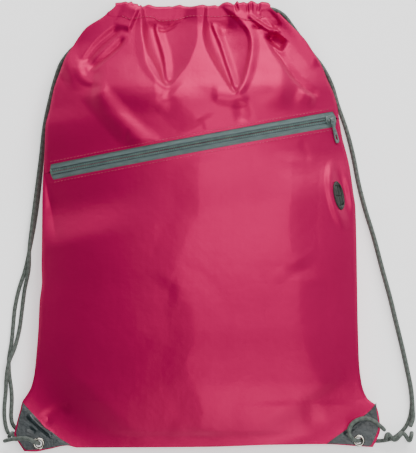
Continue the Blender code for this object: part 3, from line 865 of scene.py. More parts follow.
@dataclass(frozen=True)
class Fold:
    """A ridge or a crease of the gathered cloth, in millimetres.

    height is negative for a crease; left and right are its widths as it is followed; a third
    number at its points narrows it there; fade is how far it takes to rise at either end.
    """

    points: Sequence[Point]
    height: float
    left: float
    right: float
    profile: Profile = Profile.SOFT
    fade: float = 10.0

    def lift(self, x: np.ndarray, y: np.ndarray) -> np.ndarray:
        """Height that the fold adds at each place."""
        rows = np.asarray(self.points, float)
        rows = rows if rows.shape[1] > 2 else np.column_stack((rows, np.ones(len(rows))))
        knots = np.concatenate(([0.0], np.cumsum(np.linalg.norm(np.diff(rows[:, :2], axis=0), axis=1))))
        path = through(knots, rows, np.linspace(0, knots[-1], max(3, int(knots[-1] / 2))), False)
        narrow, path = path[:, 2], path[:, :2]
        run = np.concatenate(([0.0], np.cumsum(np.linalg.norm(np.diff(path, axis=0), axis=1))))
        reach = max(self.left, self.right)
        close = ((x > path[:, 0].min() - reach) & (x < path[:, 0].max() + reach)
                 & (y > path[:, 1].min() - reach) & (y < path[:, 1].max() + reach))
        px, py = x[close], y[close]
        found, sides, runs = np.full(px.shape, 1e9), np.zeros(px.shape), np.zeros(px.shape)
        for i in range(len(path) - 1):
            step = path[i + 1] - path[i]
            length = math.hypot(*step)
            dx, dy = px - path[i, 0], py - path[i, 1]
            share = np.clip((dx * step[0] + dy * step[1]) / length**2, 0, 1)
            gap = np.hypot(dx - share * step[0], dy - share * step[1])
            nearer = gap < found
            found = np.where(nearer, gap, found)
            sides = np.where(nearer, step[0] * dy - step[1] * dx, sides)
            runs = np.where(nearer, run[i] + share * length, runs)
        scale = np.maximum(np.interp(runs, run, narrow), 0.02)
        width = (self.left + (self.right - self.left) * (sides < 0)) * scale
        fade = min(self.fade, run[-1] / 2)
        ends = smoothstep(runs, 0, fade) * smoothstep(run[-1] - runs, 0, fade)
        result = np.zeros(x.shape)
        result[close] = self.height * scale**0.6 * self.profile.at(np.clip(found / width, 0, 1)) * ends
        return result


SOFT, CREASED, RIMMED, FACETED = Profile

LEFT_EDGE = (
    (-208.8, -161.0), (-203.0, -164.8), (-197.5, -168.2), (-192.8, -170.2), (-184.9, -168.6), (-171.0, -165.0),
    (-161.6, -162.4), (-157.0, -159.1), (-148.6, -154.4), (-134.7, -151.1), (-117.0, -149.2), (-93.8, -147.3),
    (-69.7, -146.1), (-50.2, -143.9), (-35.3, -144.2), (-11.1, -143.9), (20.4, -143.9), (42.7, -143.3), (71.5, -141.4),
    (92.9, -140.5), (108.7, -136.8), (127.3, -133.1), (145.9, -126.6), (157.9, -121.9), (166.3, -116.4),
    (184.4, -103.4), (196.9, -84.8), (208.1, -76.4),
)
RIGHT_EDGE = (
    (-208.8, 160.5), (-204.8, 163.3), (-198.8, 166.5), (-188.6, 170.2), (-180.2, 169.8), (-166.3, 166.6),
    (-159.8, 158.6),
    (-146.8, 153.1), (-125.4, 150.3), (-82.7, 148.8), (-11.1, 147.5), (18.6, 146.6), (31.6, 144.7), (57.6, 141.0),
    (69.7, 138.2), (83.6, 134.5), (100.3, 131.7), (112.4, 129.8), (124.5, 126.1), (136.6, 120.6), (150.5, 115.0),
    (160.7, 108.5), (173.7, 100.1), (184.9, 89.0), (195.1, 78.7), (206.2, 67.6),
)
BOTTOM_EDGE = (
    (-161.0, -208.6), (-151.7, -209.0), (-136.8, -206.7), (-117.3, -203.4), (-109.8, -205.3), (-60.0, -205.0),
    (10.0, -204.4), (73.0, -202.5), (116.8, -202.1), (148.4, -203.9), (163.3, -204.8),
)
TOP_EDGE = (
    (-76.0, 208.0), (-70.0, 208.5), (-66.0, 209.3), (-64.0, 208.3), (-61.0, 209.3), (-59.0, 207.5), (-55.0, 207.0),
    (-54.0, 205.0), (-52.0, 206.3), (-51.0, 204.6), (-45.0, 206.5), (-40.0, 205.0), (-37.0, 204.6), (-30.0, 204.6),
    (-26.0, 204.9), (-23.5, 204.6), (-20.0, 205.5), (-16.0, 206.3), (-12.0, 205.0), (-6.0, 204.6), (0.0, 205.5),
    (5.0, 206.3), (10.0, 205.3), (17.0, 206.0), (19.0, 205.0), (24.0, 208.0), (28.0, 208.8), (32.0, 207.5),
    (34.0, 206.5), (37.0, 209.8), (39.0, 208.0), (43.0, 208.9), (46.0, 207.8), (50.0, 210.0), (53.0, 209.0),
    (56.0, 207.5), (60.0, 209.0), (65.0, 208.5), (68.0, 206.4),
)
HEM_LINE = (
    (-84.0, 197.0), (-78.0, 194.5), (-70.0, 194.5), (-62.0, 191.0), (-56.0, 192.0), (-48.0, 193.6), (-40.0, 193.0),
    (-36.0, 190.0), (-28.0, 190.0), (-18.0, 191.0), (-10.0, 193.6), (2.0, 194.2), (10.0, 194.2), (18.0, 193.6),
    (26.0, 194.4), (36.0, 193.8), (46.0, 190.6), (54.0, 191.0), (62.0, 194.0), (70.0, 194.6), (77.0, 195.4),
)
# height up the bag: seam height, crown height, share of the round section, power of its shoulders
SECTIONS = (
    (-209.0, 12.0, 13.0, 0.9, 4.0), (-195.0, 12.0, 21.0, 0.9, 4.0), (-188.0, 12.0, 26.5, 0.9, 4.0),
    (-163.0, 13.0, 40.5, 0.85, 4.0), (-142.0, 17.0, 49.0, 0.8, 4.0), (-91.0, 24.0, 61.0, 0.75, 4.5),
    (-14.0, 27.0, 67.0, 0.75, 4.5), (40.0, 27.0, 66.0, 0.75, 4.5), (90.0, 25.0, 62.0, 0.78, 4.5),
    (114.0, 23.5, 61.0, 0.82, 4.2), (127.0, 22.5, 58.5, 0.85, 4.2), (143.0, 21.5, 52.0, 0.9, 4.0),
    (170.0, 22.0, 39.5, 0.95, 4.0), (192.0, 24.6, 29.5, 0.95, 4.0), (212.0, 25.0, 27.6, 0.95, 4.0),
)
UPPER_FOLDS = (
    # left shoulder: the swell above its edge, two long creases, the bend that joins them and the hem's flap
    Fold(((-128, 140), (-117, 145), (-104, 149)), 3.4, 26, 22, SOFT, 12),
    Fold(((-104, 148), (-99, 158), (-91, 168), (-81, 177), (-70, 185)), -3.2, 7, 7, SOFT, 9),
    Fold(((-101, 144), (-93, 151), (-84, 158), (-75, 166), (-66, 176)), -3.6, 7, 5, CREASED, 8),
    Fold(((-107, 156), (-109, 147), (-105, 138), (-97, 134), (-84, 138)), 1.7, 9, 7, SOFT, 10),
    Fold(((-55, 206), (-58, 197), (-62, 188), (-65, 180)), 3.6, 4, 14, FACETED, 6),
    # the crest across the bag, and the long ridge from it to the zip
    Fold(((-98, 131), (-80, 129.5), (-60, 126), (-45, 123.5), (-25, 125.5)), 4.5, 34, 24, SOFT, 14),
    Fold(((-99, 132), (-89, 119), (-78, 106), (-66, 93), (-54, 82), (-44, 74), (-36, 66)), 4.2, 15, 17, SOFT, 14),
    Fold(((-27, 125.5), (-15, 114), (-4, 104), (4, 93)), 2.6, 22, 22, FACETED, 8),
    # first cone: a trough that narrows to a point, with a sharp inner ridge
    Fold(((-41, 208, 1), (-40, 192, 1), (-39.5, 180, 1), (-37, 169, 0.97), (-34, 158, 0.85), (-31.5, 149, 0.66),
              (-29.5, 139, 0.4),
          (-27, 129, 0.1)), -8.5, 40, 11.5, RIMMED, 3),
    Fold(((-38, 206), (-38, 192), (-37.6, 182), (-34.5, 171), (-31.5, 161), (-29.5, 151), (-28.5, 141), (-27, 130)),
         2.6, 7, 2.6, FACETED, 7),
    Fold(((-51, 206, 1), (-50, 185, 1), (-49.5, 168, 1), (-47, 153, 0.9), (-42, 143, 0.8), (-35, 134.5, 0.6),
              (-26, 126, 0.4)),
         1.4, 4, 9, SOFT, 6),
    Fold(((-38, 184), (-30, 182.5), (-23, 186), (-17, 191), (-9, 194)), -1.6, 2.6, 2.6, SOFT, 5),
    Fold(((-27.5, 207), (-26.5, 194), (-24.5, 186)), 1.5, 2.2, 2.2, SOFT, 4),
    Fold(((-24.5, 186), (-21, 194), (-18, 206)), 1.3, 2.2, 2.2, SOFT, 4),
    # second cone
    Fold(((14, 208, 0.6), (13.5, 192, 0.7), (14.5, 180, 0.9), (17.5, 170, 1), (21.5, 160, 0.95), (25, 150, 0.8),
              (28.5, 140, 0.55),
          (32, 130, 0.3), (35, 122, 0.08)), -8.0, 33, 11, RIMMED, 3),
    Fold(((13, 192), (17, 181), (21, 171.5), (24.5, 161), (27.5, 151), (30.5, 142), (33.5, 132),
              (36, 123.5)), 2.6, 6, 2.6, FACETED, 7),
    Fold(((20, 207, 0.6), (28, 201.5, 0.8), (36, 196, 1), (42, 190, 1), (47, 183, 1), (50, 174, 1), (50, 163, 1),
              (48.5, 151, 1),
          (45.5, 139, 0.9), (41, 128, 0.7), (35, 121, 0.4)), 2.6, 8, 4, FACETED, 5),
    Fold(((30, 194), (27, 186), (30, 177)), -2.2, 9, 9, SOFT, 8),
    Fold(((12, 121.5), (24, 120.5), (34, 118.5), (48, 122)), 2.2, 16, 12, SOFT, 8),
    Fold(((38, 120), (41, 106), (44, 92)), -2.2, 11, 11, SOFT, 12),
    # right gathers
    Fold(((34.5, 209), (38, 199)), -2.6, 2.0, 2.0, SOFT, 3),
    Fold(((46, 208), (47, 198)), -2.2, 1.6, 1.6, SOFT, 2),
    Fold(((50.5, 209), (50, 199)), -2.2, 1.6, 1.6, SOFT, 2),
    Fold(((57.5, 208), (56, 198)), -2.2, 1.8, 1.8, SOFT, 2),
    Fold(((46, 197), (54, 191), (61, 186), (68, 182), (78, 180)), 3.0, 3.4, 3.4, SOFT, 5),
    Fold(((57, 196), (64, 197.5), (70, 192.5), (76, 184)), -4.0, 5, 5.5, SOFT, 5),
    Fold(((50, 186), (61, 184)), -1.8, 2.6, 2.6, SOFT, 4),
    Fold(((64, 179), (72, 171), (81, 164)), -7.5, 9, 4, RIMMED, 6),
    Fold(((61, 182), (66, 174), (71, 165), (77, 157), (84, 146), (91, 137), (98, 129.5), (105, 124.5), (114, 121)),
         -2.6, 8, 5, CREASED, 9),
    Fold(((92, 127), (102, 121), (112, 118)), 2.2, 9, 14, SOFT, 9),
    Fold(((68, 207), (76, 200), (85, 190), (95, 178), (105, 164), (115, 149)), 3.0, 5, 12, SOFT, 10),
    Fold(((74, 165), (76, 138), (75, 104)), 3.0, 16, 22, SOFT, 20),
    # puckers of the zip's seam
    Fold(((-66, 76), (-65, 84), (-64, 92)), -0.7, 4, 4, SOFT, 6),
    Fold(((9, 84), (8.5, 92), (8, 103)), 0.5, 5, 5, SOFT, 8),
)
LOWER_FOLDS = (
    # long soft crests down the middle, and two more towards the right side
    Fold(((2, 74), (1, 40), (0, 10), (-8, -4), (-14, -22), (-22, -42), (-32, -58)), 1.2, 30, 24, FACETED, 14),
    Fold(((-28, -62), (-8, -70), (-2, -100), (-10, -130), (0, -150), (5, -165), (3, -196)), 1.2, 30, 24, FACETED, 12),
    Fold(((88, 72), (86, 30), (84, 0), (87, -24), (97, -42)), 2.0, 26, 36, FACETED, 14),
    Fold(((96, -38), (94, -62), (100, -110), (108, -132), (122, -156)), 1.8, 26, 32, FACETED, 12),
    # the lower corners
    Fold(((-147, -188), (-140, -177), (-130, -171), (-114, -169)), -1.8, 9, 9, SOFT, 12),
    Fold(((112, -194), (107, -176), (100, -154)), -0.9, 13, 13, SOFT, 18),
    # puckers beside the zip and along the foot
    Fold(((96, 82), (99, 72), (104, 60)), -0.5, 6, 6, SOFT, 8),
    Fold(((-20, -203), (-18, -190), (-12, -172)), 0.5, 11, 11, SOFT, 14),
    # corner patches: a roll along the long edge and a crease inside it
    Fold(((-158, -174), (-146, -185), (-134, -195)), 1.6, 3.0, 3.6, SOFT, 5),
    Fold(((-158, -186), (-150, -192)), -0.7, 3.0, 3.0, SOFT, 3),
    Fold(((160, -174), (148, -184), (136, -193)), 1.4, 3.4, 3.0, SOFT, 5),
)


@dataclass(frozen=True)
class PortSize:
    """Half width and half length of each part of the cable port, in millimetres."""

    rim: Point = (6.5, 13.5)
    lip: Point = (5.6, 12.4)
    window: Point = (4.1, 9.4)
    flap: Point = (3.8, 9.1)
    gap: float = 0.2


@dataclass(frozen=True)
class EyeletSize:
    """Radii of an eyelet and the height of its top, in millimetres."""

    flange: float = 5.5
    barrel: float = 3.7
    bore: float = 3.2
    hole: float = 4.4
    top: float = 14.3


PORT = PortSize()
EYELET = EyeletSize()


class Form:
    """The bag's outline, its heights and the frames of its zip and port, in millimetres."""

    wall = 0.8
    zip_middle = (-5.0, 75.25)
    heading = math.radians(10.65)
    zip_radius = 250.4
    zip_crown = 62.0
    zip_reach = 139.0
    zip_ends = (-133.0, 135.5)
    tape_show = 7.2
    # height, distance from the chain and width of the cloth's roll over the tape
    tape_roll = (0.2, 9.0, 1.4)
    # distances over which folds rise from an eyelet, in millimetres, and from the port, 1 on its rim
    eyelet_calm = (6.5, 12)
    port_calm = (1.2, 2.6)
    port_seat = (1.05, 2.6)
    port = (Vector((130.499, 29.014, 35.395)), Vector((0.69523, 0.09913, -0.71192)),
            Vector((-0.196, 0.97906, -0.05507)), Vector((0.69155, 0.17782, 0.7001)))
    eyelets = {"left": (-147.5, -201.4), "right": (150.3, -198.8)}

    def __init__(self) -> None:
        """Read the outlines."""
        self.left = np.array(LEFT_EDGE)
        self.right = np.array(RIGHT_EDGE)
        self.bottom = np.array(BOTTOM_EDGE)
        self.top = np.array(TOP_EDGE)
        self.hem = np.array(HEM_LINE)
        self.sections = np.array(SECTIONS)

    def edge(self, table: np.ndarray, where: np.ndarray) -> np.ndarray:
        """Read a two-column outline smoothly."""
        where = np.clip(where, table[0, 0], table[-1, 0])
        return through(table[:, 0], table[:, 1], where, True)[..., 0]

    def foot_at(self, across: np.ndarray) -> np.ndarray:
        """Y of the bag's foot, for each place across it."""
        left, right = self.bottom[0, 0], self.bottom[-1, 0]
        return self.edge(self.bottom, left + (right - left) * (across + 1) / 2)

    def x_at(self, across: np.ndarray, y: np.ndarray) -> np.ndarray:
        """X of a place across the bag, from -1 to 1, at a height up it."""
        left, right = self.edge(self.left, y), self.edge(self.right, y)
        return left + (right - left) * (across + 1) / 2

    def across_at(self, x: np.ndarray, y: np.ndarray) -> np.ndarray:
        """Place across the bag, from -1 to 1."""
        left, right = self.edge(self.left, y), self.edge(self.right, y)
        return np.clip(2 * (x - left) / (right - left) - 1, -1, 1)

    def along_zip(self, x: np.ndarray, y: np.ndarray) -> tuple[np.ndarray, np.ndarray]:
        """Distance along the chain and square to it towards the mouth."""
        dx, dy = x - self.zip_middle[0], y - self.zip_middle[1]
        cos, sin = math.cos(self.heading), math.sin(self.heading)
        return dx * cos + dy * sin, dy * cos - dx * sin

    def zip_height(self, forward: np.ndarray) -> np.ndarray:
        """Height of the chain's middle."""
        reach = np.minimum(np.abs(forward), self.zip_reach)
        return self.zip_crown - self.zip_radius + np.sqrt(self.zip_radius**2 - reach**2)

    def zip_frame(self, forward: float) -> Matrix:
        """Frame on the chain in metres: X along it, Y towards the mouth, Z out."""
        turn = Matrix.Rotation(self.heading, 4, "Z") @ Matrix.Rotation(math.asin(forward / self.zip_radius), 4, "Y")
        centre = Vector((*self.zip_middle, self.zip_crown - self.zip_radius)) * MM
        return Matrix.Translation(centre) @ turn @ Matrix.Translation((0, 0, self.zip_radius * MM))

    def port_frame(self) -> Matrix:
        """Frame of the cable port in metres."""
        centre, across, along, out = self.port
        axes = Matrix((across, along, out)).transposed().to_4x4()
        return Matrix.Translation(centre * MM) @ axes

    def corner_distance(self, x: np.ndarray, y: np.ndarray) -> np.ndarray:
        """How far a place lies inside the nearer corner patch's long edge."""
        left = (x + 162.8) * 0.677 + (y + 161.6) * 0.736
        right = (x - 167.5) * -0.616 + (y + 164.0) * 0.788
        return np.minimum(left, right)

    def eyelet_distance(self, x: np.ndarray, y: np.ndarray) -> np.ndarray:
        """Distance from the nearer eyelet's middle."""
        gaps = [np.hypot(x - cx, y - cy) for cx, cy in self.eyelets.values()]
        return np.minimum(*gaps)

    def port_distance(self, x: np.ndarray, y: np.ndarray) -> np.ndarray:
        """Distance from the port's middle, 1 on its rim."""
        centre, across, along, _ = self.port
        dx, dy = x - centre.x, y - centre.y
        # seen from above the oval is foreshortened across
        turn = math.atan2(-along.x, along.y)
        side = dx * math.cos(turn) + dy * math.sin(turn)
        up = dy * math.cos(turn) - dx * math.sin(turn)
        return np.hypot(side / (PORT.rim[0] * across.x), up / PORT.rim[1])

    def front(self, x: np.ndarray, y: np.ndarray, folded: bool = True) -> np.ndarray:
        """Height of the front's outer face.

        Args:
            x: places across.
            y: places up the bag.
            folded: leaves the folds out when false.

        Returns:
            The heights.
        """
        table = through(self.sections[:, 0], self.sections[:, 1:], np.clip(y, -209, 212), True)
        seam, crown, share, power = (table[..., k] for k in range(4))
        u = np.abs(self.across_at(x, y))
        swell = np.maximum(0, 1 - share * u**2 - (1 - share) * u**power)
        swell = swell * smoothstep(self.corner_distance(x, y), -4, 55)
        height = seam + (crown - seam) * swell
        forward, aside = self.along_zip(x, y)
        near = 1 - smoothstep(np.abs(aside), np.where(aside > 0, 14, 27), np.where(aside > 0, 60, 70))
        height = height + (self.zip_height(forward) + 0.9 - height) * near
        if folded:
            calm = smoothstep(np.abs(aside), 6, np.where(aside > 0, 15, 20))
            calm = calm * smoothstep(self.eyelet_distance(x, y), *self.eyelet_calm)
            calm = calm * smoothstep(self.port_distance(x, y), *self.port_calm)
            folds = UPPER_FOLDS if np.mean(aside) > 0 else LOWER_FOLDS
            height = height + sum(fold.lift(x, y) for fold in folds) * calm
        # the cloth rolls over the zip's tape
        roll, place, width = self.tape_roll
        height = height + roll * np.exp(-(((np.abs(aside) - place) / width) ** 2))
        # it lies flat under the port's rim
        centre, _, _, out = self.port
        plane = centre.z - ((x - centre.x) * out.x + (y - centre.y) * out.y) / out.z
        share = 1 - smoothstep(self.port_distance(x, y), *self.port_seat)
        height = height + (plane + 0.2 - height) * share
        # and stays above the cords in the hem
        floor = 20.5 + 4.6 * smoothstep(y, 178, 193)
        upper = smoothstep(y, 150, 170)
        lifted = floor + np.log1p(np.exp(np.clip((height - floor) * 2, -30, 30))) / 2
        return height + (np.where(height - floor > 10, height, lifted) - height) * upper

    def back(self, x: np.ndarray, y: np.ndarray) -> np.ndarray:
        """Height of the back's outer face."""
        u = np.abs(self.across_at(x, y))
        side = np.where(x > 0, self.edge(self.right, y), self.edge(self.left, y))
        seam = self.front(side, y, folded=False)
        low = np.where(x > 0, 134.0, 142.0)
        lift = (seam - 2.3) * (1 - smoothstep(y, low, low + 13)) + 0.4
        edge = np.clip((u - 0.78) / 0.22, 0, 1) ** 1.5
        foot = 1 - smoothstep(y, -205, -176)
        corner = 1 - smoothstep(self.corner_distance(x, y), 0, 45)
        return lift * np.maximum(np.maximum(edge, foot), corner)

    def out_of(self, height: Callable, x: float, y: float) -> np.ndarray:
        """Direction out of a face at one place."""
        xs = np.array((x - 0.3, x + 0.3, x, x))
        ys = np.array((y, y, y - 0.3, y + 0.3))
        z = height(xs, ys)
        normal = np.array((-(z[1] - z[0]) / 0.6, -(z[3] - z[2]) / 0.6, 1.0))
        return normal / np.linalg.norm(normal)

    def line_along_zip(self, across: np.ndarray, offset: float) -> np.ndarray:
        """Y of the panel's edge beside the zip, for each place across.

        Args:
            across: places across the bag.
            offset: how far the edge lies from the chain, signed.

        Returns:
            One y for each place.
        """
        y = np.full(across.shape, self.zip_middle[1])
        for _ in range(60):
            forward, aside = self.along_zip(self.x_at(across, y), y)
            inside = smoothstep(forward, self.zip_ends[0] - 1.5, self.zip_ends[0] + 1.5)
            inside = inside * (1 - smoothstep(forward, self.zip_ends[1] - 1.5, self.zip_ends[1] + 1.5))
            goal = math.copysign(0.2, offset) + (offset - math.copysign(0.2, offset)) * inside
            y = y + (goal - aside) * 0.7
        return y


# ---- The cords ----


@dataclass(frozen=True)
class CordRoute:
    """One cord: its route in millimetres and what is at its ends."""

    name: str
    points: Sequence[Point]
    exit: str
    far_end: str
    knot: str


@dataclass(frozen=True)
class BraidSize:
    """The braid's sizes in millimetres."""

    diameter: float = 4.0
    relief: float = 0.30
    carriers: int = 7
    lay_length: float = 15.0
    step: float = 0.9
    around: int = 30


class Cords:
    """Both braided cords with their knots."""

    def __init__(self, wardrobe: Wardrobe, size: BraidSize = BraidSize()) -> None:
        """Keep the finishes and sizes."""
        self.wardrobe = wardrobe
        self.size = size

    def braid(self, name: str, path: np.ndarray, closed: bool = False) -> bpy.types.Object:
        """A braided tube along a path, its relief kept on its points for the painted shade in its pits.

        Args:
            name: the piece's name.
            path: even points in millimetres.
            closed: joins the end to the start.

        Returns:
            The object.
        """
        size = self.size
        run = np.arange(len(path)) * np.linalg.norm(path[1] - path[0])
        turn = np.linspace(0, 2 * math.pi, size.around, endpoint=False)
        twist = run[:, None] * 2 * math.pi / size.lay_length
        right = np.cos(size.carriers * (turn[None] + twist))
        left = np.cos(size.carriers * (turn[None] - twist))
        relief = np.clip(np.maximum(right, left) * 0.5 + 0.5, 0, 1)
        radius = size.diameter / 2 - size.relief * (1 - relief)
        taper = np.minimum(1.0, 0.72 + np.minimum(run, run[::-1]) / 5)
        if not closed:
            radius = radius * taper[:, None]
        rings = tube_rings(path, radius, size.around, closed)
        count, sides = len(path), size.around
        first = np.arange(count if closed else count - 1)[:, None] * sides
        second = (np.arange(1, len(first) + 1)[:, None] % count) * sides
        k = np.arange(sides)[None]
        m = (k + 1) % sides
        faces = np.stack((first + k, first + m, second + m, second + k), -1).reshape(-1, 4).tolist()
        if not closed:
            faces.append(list(range(sides))[::-1])
            faces.append(list(range((count - 1) * sides, count * sides)))
        piece = new_piece(name, rings.reshape(-1, 3), faces, 80)
        # the relief also drives the cord's painted shade, darker in the pits
        layer = piece.data.attributes.new("relief", "FLOAT", "POINT")
        layer.data.foreach_set("value", relief.ravel())
        return self.wardrobe.dress(piece, "cord")

    def knot(self, name: str, centre: Point, size: Point, turn: float, wraps: int) -> bpy.types.Object:
        """A knot as one strand wound round itself: wraps across its long way and a tuck along it.

        Args:
            name: the piece's name.
            centre: its middle in millimetres.
            size: half length, half width and half height.
            turn: its angle on the ground in degrees.
            wraps: turns of the strand.

        Returns:
            The object.
        """
        strand = self.size.diameter / 2
        phase = np.linspace(0, 2 * math.pi, 60 * wraps, endpoint=False)
        along = (size[0] - strand) * np.cos(phase)
        across = (size[1] - strand) * np.cos(wraps * phase) * (0.85 + 0.15 * np.cos(phase))
        up = (size[2] - strand) * np.sin(wraps * phase)
        cos, sin = math.cos(math.radians(turn)), math.sin(math.radians(turn))
        x, y = centre[0] + along * cos - across * sin, centre[1] + along * sin + across * cos
        points = np.stack((x, y, centre[2] + up), 1)
        path = even_path(np.vstack((points, points[:1])), self.size.step)[:-1]
        return self.braid(name, path, closed=True)

    def build(self) -> None:
        """Make each cord and its knot, and hide the model's cords and knots that they stand for."""
        knots = {
            "left_cord_knot": self.knot("left_cord_knot", (-170.6, -194.9, 5.6), (6.4, 4.6, 4.4), -20, 3),
            "right_cord_knot": self.knot("right_cord_knot", (187.6, -195.4, 7.4), (14.2, 5.6, 4.6), 0, 5),
        }
        for route in (LEFT_CORD, RIGHT_CORD):
            path = even_path(route.points, self.size.step)
            piece = self.braid(route.name, path)
            knot = knots[route.knot]
            attach(piece, ROOT, "cord_braid", route.name)
            attach(knot, ROOT, "cord_braid", route.knot)
            coarse = even_path(route.points, 4.0) * MM


LEFT_CORD = CordRoute("left_cord", (
    (-180.5, -199.6, 6.6), (-176.5, -198.4, 9.4), (-171.5, -197.2, 13.6), (-165.0, -196.4, 16.6),
    (-160.0, -196.0, 18.8), (-155.4, -197.1, 20.1), (-151.5, -199.3, 18.9), (-148.6, -200.8, 15.6),
    (-147.5, -201.4, 11.1), (-148.3, -201.0, 6.4), (-151.0, -199.6, 3.2), (-155.0, -197.3, 2.1),
    (-159.5, -194.6, 2.1), (-164.5, -191.4, 2.1), (-169.6, -187.6, 2.1), (-172.4, -183.6, 2.1), (-173.7, -177.5, 2.1),
    (-173.5, -170.0, 2.1), (-173.0, -160.7, 2.1), (-173.6, -151.0, 2.1), (-175.4, -137.5, 2.1),
    (-175.8, -123.6, 2.1), (-173.4, -108.0, 2.1), (-171.9, -93.0, 2.1), (-170.4, -77.1, 2.1),
    (-166.4, -58.0, 2.1), (-160.6, -39.9, 2.1), (-156.2, -19.5, 2.1), (-152.1, 1.9, 2.1),
    (-148.2, 29.7, 2.1), (-145.0, 62.2, 2.1), (-141.6, 99.4, 2.1), (-137.6, 118.0, 2.1),
    (-132.9, 136.6, 2.4), (-126.2, 153.5, 5.0), (-118.0, 163.8, 6.6), (-106.0, 173.2, 7.4),
    (-92.0, 184.0, 6.8), (-78.0, 193.2, 5.4), (-64.0, 196.8, 4.8), (-57.0, 196.9, 4.8), (-30.0, 196.9, 4.8),
    (10.0, 196.9, 4.8), (45.0, 196.9, 4.8), (56.0, 196.9, 4.8), (61.6, 196.9, 4.9), (67.2, 196.9, 7.3),
    (69.7, 196.9, 13.4), (67.2, 196.9, 19.5), (61.6, 196.9, 21.9), (56.0, 196.9, 22.0), (45.0, 196.9, 22.0),
    (10.0, 196.9, 22.0), (-30.0, 196.9, 22.0), (-57.0, 196.9, 22.0), (-64.0, 196.8, 21.9), (-78.0, 193.2, 18.6),
    (-92.0, 184.0, 15.2), (-106.0, 173.2, 13.0), (-118.0, 163.8, 11.2), (-126.2, 153.5, 9.4),
    (-132.7, 136.6, 6.8), (-137.5, 118.0, 6.4), (-141.6, 99.4, 6.4), (-146.2, 62.2, 6.2),
    (-150.4, 29.7, 5.8), (-154.0, 1.9, 5.8), (-156.4, -19.5, 6.4), (-157.2, -39.9, 5.6),
    (-161.0, -58.0, 2.6), (-163.5, -77.1, 2.1), (-166.0, -95.7, 2.3), (-170.4, -113.0, 4.6),
    (-175.8, -127.0, 6.4), (-178.0, -141.0, 4.8), (-178.8, -154.2, 2.1), (-180.0, -168.0, 2.1),
    (-179.8, -179.0, 2.1), (-178.0, -188.5, 2.1), (-176.1, -193.2, 2.5),
), "left_eyelet", "bare", "left_cord_knot")
RIGHT_CORD = CordRoute("right_cord", (
    (174.8, -189.4, 13.6), (170.9, -185.6, 15.0), (166.2, -181.8, 15.9), (161.2, -178.8, 16.4),
    (155.8, -177.6, 16.8), (149.9, -178.8, 16.8), (144.4, -182.3, 17.0), (141.2, -187.6, 18.2),
    (141.6, -193.5, 19.8), (145.2, -197.6, 18.9), (149.1, -198.7, 15.6), (150.3, -198.8, 11.1),
    (151.5, -198.9, 6.6), (154.8, -199.1, 3.3), (159.3, -199.4, 2.1), (166.0, -199.6, 2.1),
    (174.0, -199.2, 2.1), (182.0, -197.2, 2.1), (189.0, -192.4, 2.1), (194.4, -186.4, 2.1), (198.0, -178.6, 2.1),
    (199.9, -168.0, 2.1), (199.0, -151.4, 2.1), (195.4, -133.0, 2.1), (191.2, -114.0, 2.1),
    (184.5, -86.4, 2.1), (180.0, -67.8, 2.1), (172.6, -40.9, 2.1), (164.2, -9.3, 2.1),
    (155.4, 19.5, 2.1), (149.8, 42.0, 2.1), (145.4, 64.7, 2.1), (139.2, 89.6, 2.1),
    (131.6, 112.0, 2.1), (124.0, 135.6, 4.2), (115.8, 150.0, 7.4), (106.0, 162.4, 8.0),
    (96.6, 175.0, 7.8), (88.0, 187.0, 7.2), (79.8, 197.0, 6.0), (70.0, 201.9, 5.0),
    (60.0, 201.6, 4.8), (50.0, 201.6, 4.8), (20.0, 201.6, 4.8), (-25.0, 201.6, 4.8), (-62.0, 201.6, 4.8),
    (-67.6, 201.6, 4.9), (-73.2, 201.6, 7.3), (-75.7, 201.6, 13.4), (-73.2, 201.6, 19.5),
    (-67.6, 201.6, 21.9), (-62.0, 201.6, 22.0), (-25.0, 201.6, 22.0), (20.0, 201.6, 22.0),
    (50.0, 201.6, 22.0), (60.0, 201.6, 22.0), (70.0, 201.9, 21.2), (79.8, 197.0, 18.6), (88.0, 187.0, 15.8),
    (96.6, 175.0, 13.6), (106.0, 162.4, 12.2), (115.8, 150.0, 11.7), (124.0, 135.6, 8.6), (131.6, 112.0, 6.4),
    (139.4, 89.6, 6.4), (145.8, 64.7, 6.4), (150.2, 42.0, 6.4), (155.9, 19.5, 6.4), (164.7, -9.3, 6.4),
    (173.1, -40.9, 6.4), (180.5, -67.8, 6.4), (185.0, -86.4, 6.4), (191.7, -114.0, 6.4),
    (195.9, -133.0, 6.4), (199.5, -151.4, 6.4), (200.8, -168.0, 6.4), (201.0, -179.0, 6.6),
    (198.4, -186.2, 8.4),
), "right_eyelet", "knot", "right_cord_knot")


# ---- The cloth ----


@dataclass(frozen=True)
class StitchSize:
    """A row of stitches: pitch, length and thickness of the thread, in millimetres."""

    pitch: float = 3.2
    length: float = 2.4
    radius: float = 0.28


@dataclass(frozen=True)
class HemSize:
    """Sizes of the two hems in millimetres; the back one's are along Y and Z."""

    wall: float = 0.6
    inner_face: float = 18.6
    roll: float = 3.2
    back_ends: Point = (-72.0, 66.0)
    back_middle: Point = (199.0, 4.7)
    back_half: Point = (5.5, 4.0)
    squareness: float = 0.6


